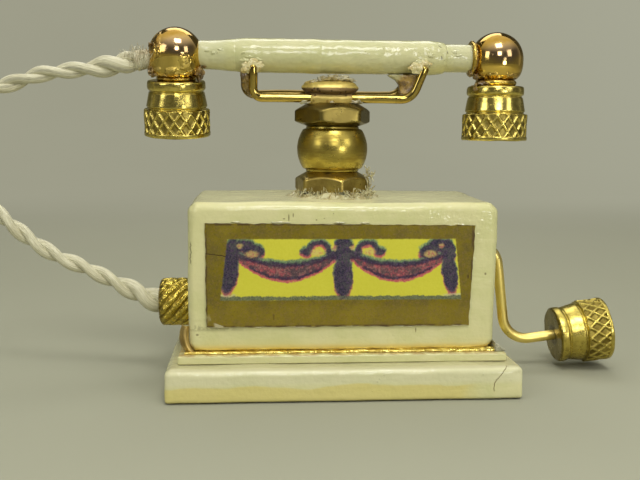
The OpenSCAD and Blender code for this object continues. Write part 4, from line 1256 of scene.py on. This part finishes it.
# ---- Balls -----------------------------------------------------------------------------------
# Two gilt beads, polished and scratched, each threaded on a pin above its cup with a ring of
# wire between. A third ring lies round the neck at the mouthpiece, and brown glue holds them.
ball_x = 9.07
ear = Matrix.Translation((-ball_x, 0, handset_up)) @ Matrix.Rotation(math.radians(7), 4, "X")
mouth = Matrix.Translation((ball_x, 0, handset_up))


def balls():
    finish, tone, height, gloss = gilt(
        "ball_gilt", (0.80, 0.55, 0.12), (0.52, 0.30, 0.045), 0.06, 0.5, uneven=0.0012,
    )
    x, y, z = finish.axes()
    stir = finish.vector("MULTIPLY", finish.noise(1.4, 2, out="Color"), (0.8, 0.8, 0.8))
    bent = finish.vector("ADD", finish.place, stir)
    nets = finish.cells(1.5, "DISTANCE_TO_EDGE", bent).ramp(0.05, 0.015)
    mess = x.ramp(-9.7, -10.1) * z.ramp(17.6, 17.9)
    mess = mess + (x + ball_x).ramp(0.2, 0.7) * x.ramp(-8, -8.2) * z.ramp(18.0, 17.6)
    mess = (mess + z.ramp(17.3, 17.0)).least(1) * finish.noise(2.0, 2).ramp(0.35, 0.5)
    side = x.ramp(-1, 1)
    across, above = abs(x) - ball_x + (1 - side) * 0.22, (z - 18.42 + side * 0.1) / 0.55
    clear = (across ** 2 + above ** 2) ** 0.5
    # Painted reflection: a grey-purple disc of a dark room on each ball's front.
    painted_reflection = (clear + (finish.noise(1.6, 2) - 0.5) * 0.5).ramp(1.35, 0.55) * y.ramp(0.3, -0.2)
    # Painted shade: the top of each ball outside that disc is a darker amber.
    tone = finish.mix((1 - painted_reflection) * z.ramp(18.0, 18.5) * 0.9, tone, (0.37, 0.215, 0.03))
    tone = finish.mix(painted_reflection * 0.75, tone, (0.32, 0.22, 0.15))
    tone = finish.mix(mess * 0.55, tone, (0.30, 0.16, 0.025))
    tone = finish.mix(nets * (0.04 + mess * 0.5), tone, (0.85, 0.70, 0.30))
    dull = (((x + 9.15) / 1.25) ** 2 + ((z - 17.36) / 0.5) ** 2).ramp(1.1, 0.8) * x.ramp(-7, -8)
    tone = finish.mix(dull * 0.7, tone, (0.38, 0.30, 0.07))
    relief = height + nets * mess * 0.02 + mess * finish.noise(2.4, 3) * 0.16
    material = finish.wear(tone, relief, Roughness=(gloss * 0.8 + dull * 0.3 + mess * 0.08).least(0.6))
    finish, tone, height, gloss = gilt("ring_gilt", (0.62, 0.45, 0.10), (0.28, 0.18, 0.03), 0.2, 0.8)
    ring_gilt = finish.wear(tone, height + finish.noise(3, 3) * 0.06, Roughness=gloss)
    ears = (("earpiece", ear, 0.7, 1.25, 0.11, 1), ("mouthpiece", mouth, 0.25, 1.0, 0.17, 6))
    for name, where, skirt, foot_r, wire, seed in ears:
        dome = bend((0, 0), 1.5, 90, -90, 18)
        turns = [math.radians(a) for a in range(0, 91, 9)]
        inward, below = 1.5 - foot_r, 1.17 - skirt
        under = [(foot_r + inward * math.cos(a), -skirt - below * math.sin(a)) for a in turns]
        pin = [(0.4, -1.17), (0.4, -3.9), (0.3, -3.96), (0, -3.98)]
        path = finer([Vector(p) for p in dome + under + pin], 0.12)
        skin = turned(path, 88, lambda p: p + ripple(p, 1.1, 0.016, seed))
        made(name + "_ball", put(skin, where), material, "handset", "ball_gold", name + "_ball_pin")
        drop = 1.18 + wire
        ring = put(turned(bend((1, -drop), wire, 0, 360, 18), 64), where)
        made(name + "_wire_ring", ring, ring_gilt, "handset", "ring_gold", name + "_ring")
    ring = turned(bend((0.9, 0), 0.12, 0, 360, 15), 56, lambda p: p + ripple(p, 0.6, 0.04, 2))
    ring = put(ring, upright((7.6, 0, handset_up), (1, 0, 0), (0, 1, 0)))
    made("neck_wire_ring", ring, ring_gilt, "handset", "ring_gold", "mouthpiece_neck_ring")
    brown = glue("ball_glue", (0.30, 0.20, 0.06), (0.12, 0.075, 0.03))
    drops = [
        ((7.5, -0.35, 17.2), (0.14, 0.25, 0.2), 1, 0.7),
        ((7.72, -0.7, 16.98), (0.14, 0.2, 0.18), 2, 0.7),
        ((7.75, -0.6, 16.4), (0.22, 0.3, 0.22), 3, 0.7), ((8.1, -0.8, 16.62), (0.3, 0.25, 0.12), 4, 0.7),
        ((7.62, -0.4, 18.4), (0.16, 0.3, 0.5), 12, 0.5),
        ((7.64, -0.7, 17.9), (0.16, 0.24, 0.5), 13, 0.5),
        ((-10.35, -0.5, 17.1), (0.18, 0.4, 0.3), 7, 0.7),
        ((-7.72, -0.5, 17.0), (0.22, 0.4, 0.36), 8, 0.7),
        ((-10.4, -0.35, 18.5), (0.12, 0.25, 0.14), 9, 0.7),
        ((-10.1, -0.7, 16.85), (0.3, 0.25, 0.1), 11, 0.7),
        ((-7.5, -0.3, 17.35), (0.16, 0.3, 0.08), 14, 0.7),
    ]
    spatter("glue_at_balls", drops, brown, "handset", "ring_gold")


balls()


# ---- Knurled cups ----------------------------------------------------------------------------
# Three turned brass cups from an electrical fitting: a collar, a waist that widens and a band of
# diamond knurling with a plain rim. Two hang under the balls, and one is the crank's knob.
def knurled_cup(name, where, body, slot, node, material):
    corners = [
        (0, 0, 0), (1.6, 0, 0.16), (1.63, -0.5, 0.14), (1.5, -0.56, 0.03), (1.5, -0.62, 0.03),
        (1.56, -0.66, 0.04), (1.7, -1.42, 0.05), (1.63, -1.48, 0.02), (1.63, -1.55, 0.02),
        (1.83, -1.6, 0.05),
    ]
    band = [(1.84, -1.66 - 0.024 * k, 0) for k in range(48)]
    mouth_rim = [
        (1.84, -2.84, 0.01), (1.86, -2.88, 0.02), (1.86, -3.08, 0.09), (1.42, -3.08, 0.04),
        (1.38, -2.6, 0.08),
        (0.9, -2.58, 0.03), (0.86, -2.64, 0.03), (0.5, -2.64, 0.03), (0.46, -2.58, 0.03), (0, -2.58, 0),
    ]
    path = rounded(corners + band + mouth_rim, 4)
    dense = finer(path[:40], 0.12) + path[40:]
    cup = made(
        name, turned(dense, 320, lambda p: p + ripple(p, 0.7, 0.02, where.translation.x)),
        material,
    )
    worked(
        cup, cut_tree(True), where, Lines=18.0, Lean=1.5 / 1.28 / MM, Depth=0.1 * MM,
        Low=-2.86 * MM, High=-1.58 * MM, Finish=material,
    )
    fitted(cup, body, slot, node)


def cup_brass(name, bright, dull, face=None):
    finish, tone, height, gloss = gilt(name, bright, dull, 0.22 if face else 0.14, 0.6, uneven=0.004)
    hollow = finish.node("ShaderNodeAttribute", {"attribute_name": "hollow"}, out="Fac")
    patch = finish.noise(1.1, 2).ramp(0.3, 0.7)
    tone = finish.mix(hollow.ramp(0.3, 0.8) * (0.35 + patch * 0.5), tone, (0.11, 0.075, 0.014))
    tone = finish.mix(finish.noise(3.4, 2).ramp(0.45, 0.65) * 0.35, tone, (0.17, 0.12, 0.025))
    # Painted shade: the knob's inner face, turned to the block, and a ring round the wire's entry.
    if face:
        away = finish.vector("SUBTRACT", finish.place, face[0])
        ahead = finish.vector("DOT_PRODUCT", away, face[1], out=1)
        tone = finish.mix((abs(ahead).ramp(0.12, 0.04)) * 0.75, tone, (0.14, 0.105, 0.03))
        ring = finish.vector("LENGTH", away, out=1)
        tone = finish.mix(ring.ramp(0.75, 0.5) * 0.7, tone, (0.06, 0.04, 0.012))
    return finish.wear(tone, height, Roughness=gloss + hollow * 0.2)


brass = cup_brass("cup_brass", (0.70, 0.56, 0.14), (0.38, 0.30, 0.065))
for end, where, drop in (("earpiece", ear, 1.41), ("mouthpiece", mouth, 1.53)):
    where = where @ Matrix.Translation((0, 0, -drop))
    knurled_cup(end + "_shell", where, "handset", "cup_brass", end + "_cup", brass)


# ---- Crank -----------------------------------------------------------------------------------
# Gilt wire that turns in a hole in the block's side, bent down into an arm and out again at the
# elbow. The third cup is pushed on its end as the knob.
def crank():
    rise = math.radians(7)
    finish, tone, height, gloss = gilt(
        "crank_gilt", (1.0, 0.80, 0.25), (0.78, 0.56, 0.12), 0.26, 0.35, uneven=0.001,
    )
    material = finish.wear(tone, height, Roughness=gloss)
    flat = [(5.5, 7.35), (7.0, 7.35)] + bend((8.25, 6.0), 1.35, 90, -82.5)
    start, stop = Vector(flat[-1]), Vector((10.014, 2.944))
    flat += [tuple(start.lerp(stop, k / 6)) for k in range(1, 6)] + bend(
        (11.461, 3.135), 1.46, 187.5, 89.5,
    )
    tail, outward = Vector(flat[-1]), Vector((math.cos(rise), math.sin(rise)))
    flat += [tuple(tail + outward * reach) for reach in (0.7, 1.4, 2.1, 2.8)]
    path = [Vector((x, 0, z)) for x, z in flat]
    made("bent_crank", tube(path, 0.3, 24), material, "crank", "wire_gold", "crank_wire")
    face = (11.639 + 1.5 * math.cos(rise), 0, 1.686 + 1.5 * math.sin(rise))
    inward = (-math.cos(rise), 0.0, -math.sin(rise))
    where = upright(face, inward, (0, 1, 0))
    knob_brass = cup_brass("knob_brass", (0.60, 0.48, 0.11), (0.30, 0.24, 0.05), (face, inward))
    knurled_cup("crank_knob_shell", where, "crank", "cup_brass", "crank_knob", knob_brass)


crank()


# ---- Whipping --------------------------------------------------------------------------------
# Turns of the same ivory yarn, wound round the cord's end and pushed with it into the
# earpiece's ball. Loose fibres stand out from them.
def winding_tree(material):
    graph, size = geometry_tree(
        "winding", Turns="Float", Length="Float", Wide="Float", Narrow="Float", Yarn="Float",
    )
    spiral = graph.node(
        "GeometryNodeCurveSpiral", {},
        {
            "Resolution": 20, "Rotations": size["Turns"], "Start Radius": size["Wide"],
            "End Radius": size["Narrow"], "Height": size["Length"],
        },
    )
    outline = graph.circle(8, size["Yarn"])
    yarn = graph.node("GeometryNodeCurveToMesh", {}, {0: spiral, 1: outline, "Fill Caps": True})
    return finish_tree(graph, yarn, material)


def whipping():
    finish = Finish("whipping_yarn", Specular_IOR_Level=0.5)
    soil = finish.noise(2.2, 3)
    tone = finish.mix(soil.ramp(0.4, 0.7), (0.56, 0.53, 0.36), (0.42, 0.35, 0.20))
    material = finish.wear(tone, finish.noise(9, 2) * 0.02, Roughness=0.4 + soil * 0.3)
    ahead = Vector((-math.cos(math.radians(10)), 0, -math.sin(math.radians(10))))
    run = Vector((-ball_x, 0, handset_up))
    where = upright(run + ahead * 1.36, ahead, (0, 1, 0))
    turns = worked(
        line("whipping_turns", [(0, 0, 0), (0, 0, 0.1)]), winding_tree(material), where,
        Turns=8.0, Length=0.8 * MM, Wide=0.45 * MM, Narrow=0.54 * MM, Yarn=0.05 * MM,
    )
    fitted(turns, "handset", "cord_thread")
    path = rounded([(0, 0, 0), (0.46, 0, 0.03), (0.56, 0.88, 0.12), (0.3, 0.96, 0.1), (0, 0.9, 0)], 4)
    made(
        "whipping_core", put(turned(path, 32), where), material, "handset", "cord_thread",
        "cord_whipping",
    )
    ends = [(reach, y) for y in (-0.35, 0.35) for reach in (2.7, 1.3)]
    fibres = line("loose_fibres", [run + ahead * reach + Vector((0, y, 0)) for reach, y in ends])
    fibres = worked(
        fibres, hair_tree(material), Count=170, Long=0.5 * MM, Thick=0.02 * MM, Spread=0.36 * MM,
    )
    fitted(fibres, "handset", "cord_thread")


whipping()


# ---- Studio ----------------------------------------------------------------------------------
# A pale sheet that lies under the telephone and curves up behind it. Soft lamps stand round the
# camera and above it, in a room that is pale above and behind and dark in front.
def studio():
    floor_y = [-400, -60, 60, 140, 200, 236, 260, 262]
    floor_z = [0, 0, 0, 2, 22, 64, 140, 600]
    sweep = through([(0, y, z) for y, z in zip(floor_y, floor_z)], 8)
    rows = [[(x * MM, p.y * MM, p.z * MM) for x in (-700, 700)] for p in sweep]
    mesh = bpy.data.meshes.new("sweep")
    faces = [(2 * k, 2 * k + 1, 2 * k + 3, 2 * k + 2) for k in range(len(rows) - 1)]
    mesh.from_pydata([p for row in rows for p in row], [], faces)
    mesh.shade_smooth()
    sheet = bpy.data.objects.new("sweep", mesh)
    scene.collection.objects.link(sheet)
    paper = Finish("backdrop_paper", Roughness=0.9, Specular_IOR_Level=0.1)
    cloud = paper.noise(0.02, 3)
    paper.wear(paper.mix(cloud, (0.30, 0.30, 0.215), (0.33, 0.33, 0.24)))
    across, depth, _ = paper.axes()
    seen = paper.node("ShaderNodeLightPath", out="Is Camera Ray") * depth.ramp(20, 120)
    wall = paper.mix(cloud, (0.325, 0.32, 0.238), (0.355, 0.35, 0.26))
    wall = paper.mix(across.ramp(-20, 160), wall, (0.385, 0.385, 0.295))
    glow = paper.node("ShaderNodeEmission", {}, {0: wall, 1: 1.0})
    output = next(n for n in paper.tree.nodes if n.type == "OUTPUT_MATERIAL")
    shader = Signal(paper, paper.surface.outputs[0])
    both = paper.node("ShaderNodeMixShader", {}, {0: seen, 1: shader, 2: glow})
    paper.tree.links.new(both.socket, output.inputs["Surface"])
    mesh.materials.append(paper.material)
    lamps = [
        ("upper_lamp", (7, -50, 95), (34, 26), 0.033),
        ("middle_lamp", (6, -100, 60), (26, 30), 0.025),
        ("left_lamp", (-75, -52, 50), (30, 40), 0.014),
        ("right_lamp", (66, -62, 50), (28, 40), 0.011),
        ("low_lamp", (44, -86, 17), (20, 12), 0.012),
        ("back_lamp", (0, 70, 110), (90, 50), 0.045),
    ]
    for name, place, size, watts in lamps:
        lamp = bpy.data.objects.new(name, bpy.data.lights.new(name, "AREA"))
        lamp.data.shape = "RECTANGLE"
        lamp.data.size, lamp.data.size_y = (s * MM for s in size)
        lamp.data.energy = watts
        lamp.location = Vector(place) * MM
        lamp.rotation_euler = (Vector((0, 0, 10)) - Vector(place)).to_track_quat("-Z", "Y").to_euler()
        scene.collection.objects.link(lamp)
    room = bpy.data.worlds.new("room")
    scene.world = room
    room.use_nodes = True
    graph = Graph(room.node_tree)
    room.node_tree.nodes.clear()
    where = graph.node("ShaderNodeTexCoord")
    across = graph.node("ShaderNodeSeparateXYZ", {}, {0: where})
    depth, height = across.other("Y"), across.other("Z")
    light = 0.13 + 1.15 * height.ramp(0.4, 1.0) + 0.36 * depth.ramp(-0.1, 0.6)
    glow = graph.node("ShaderNodeBackground", {}, {0: (1, 0.985, 0.95, 1), 1: light})
    graph.node("ShaderNodeOutputWorld", {}, {0: glow})


studio()
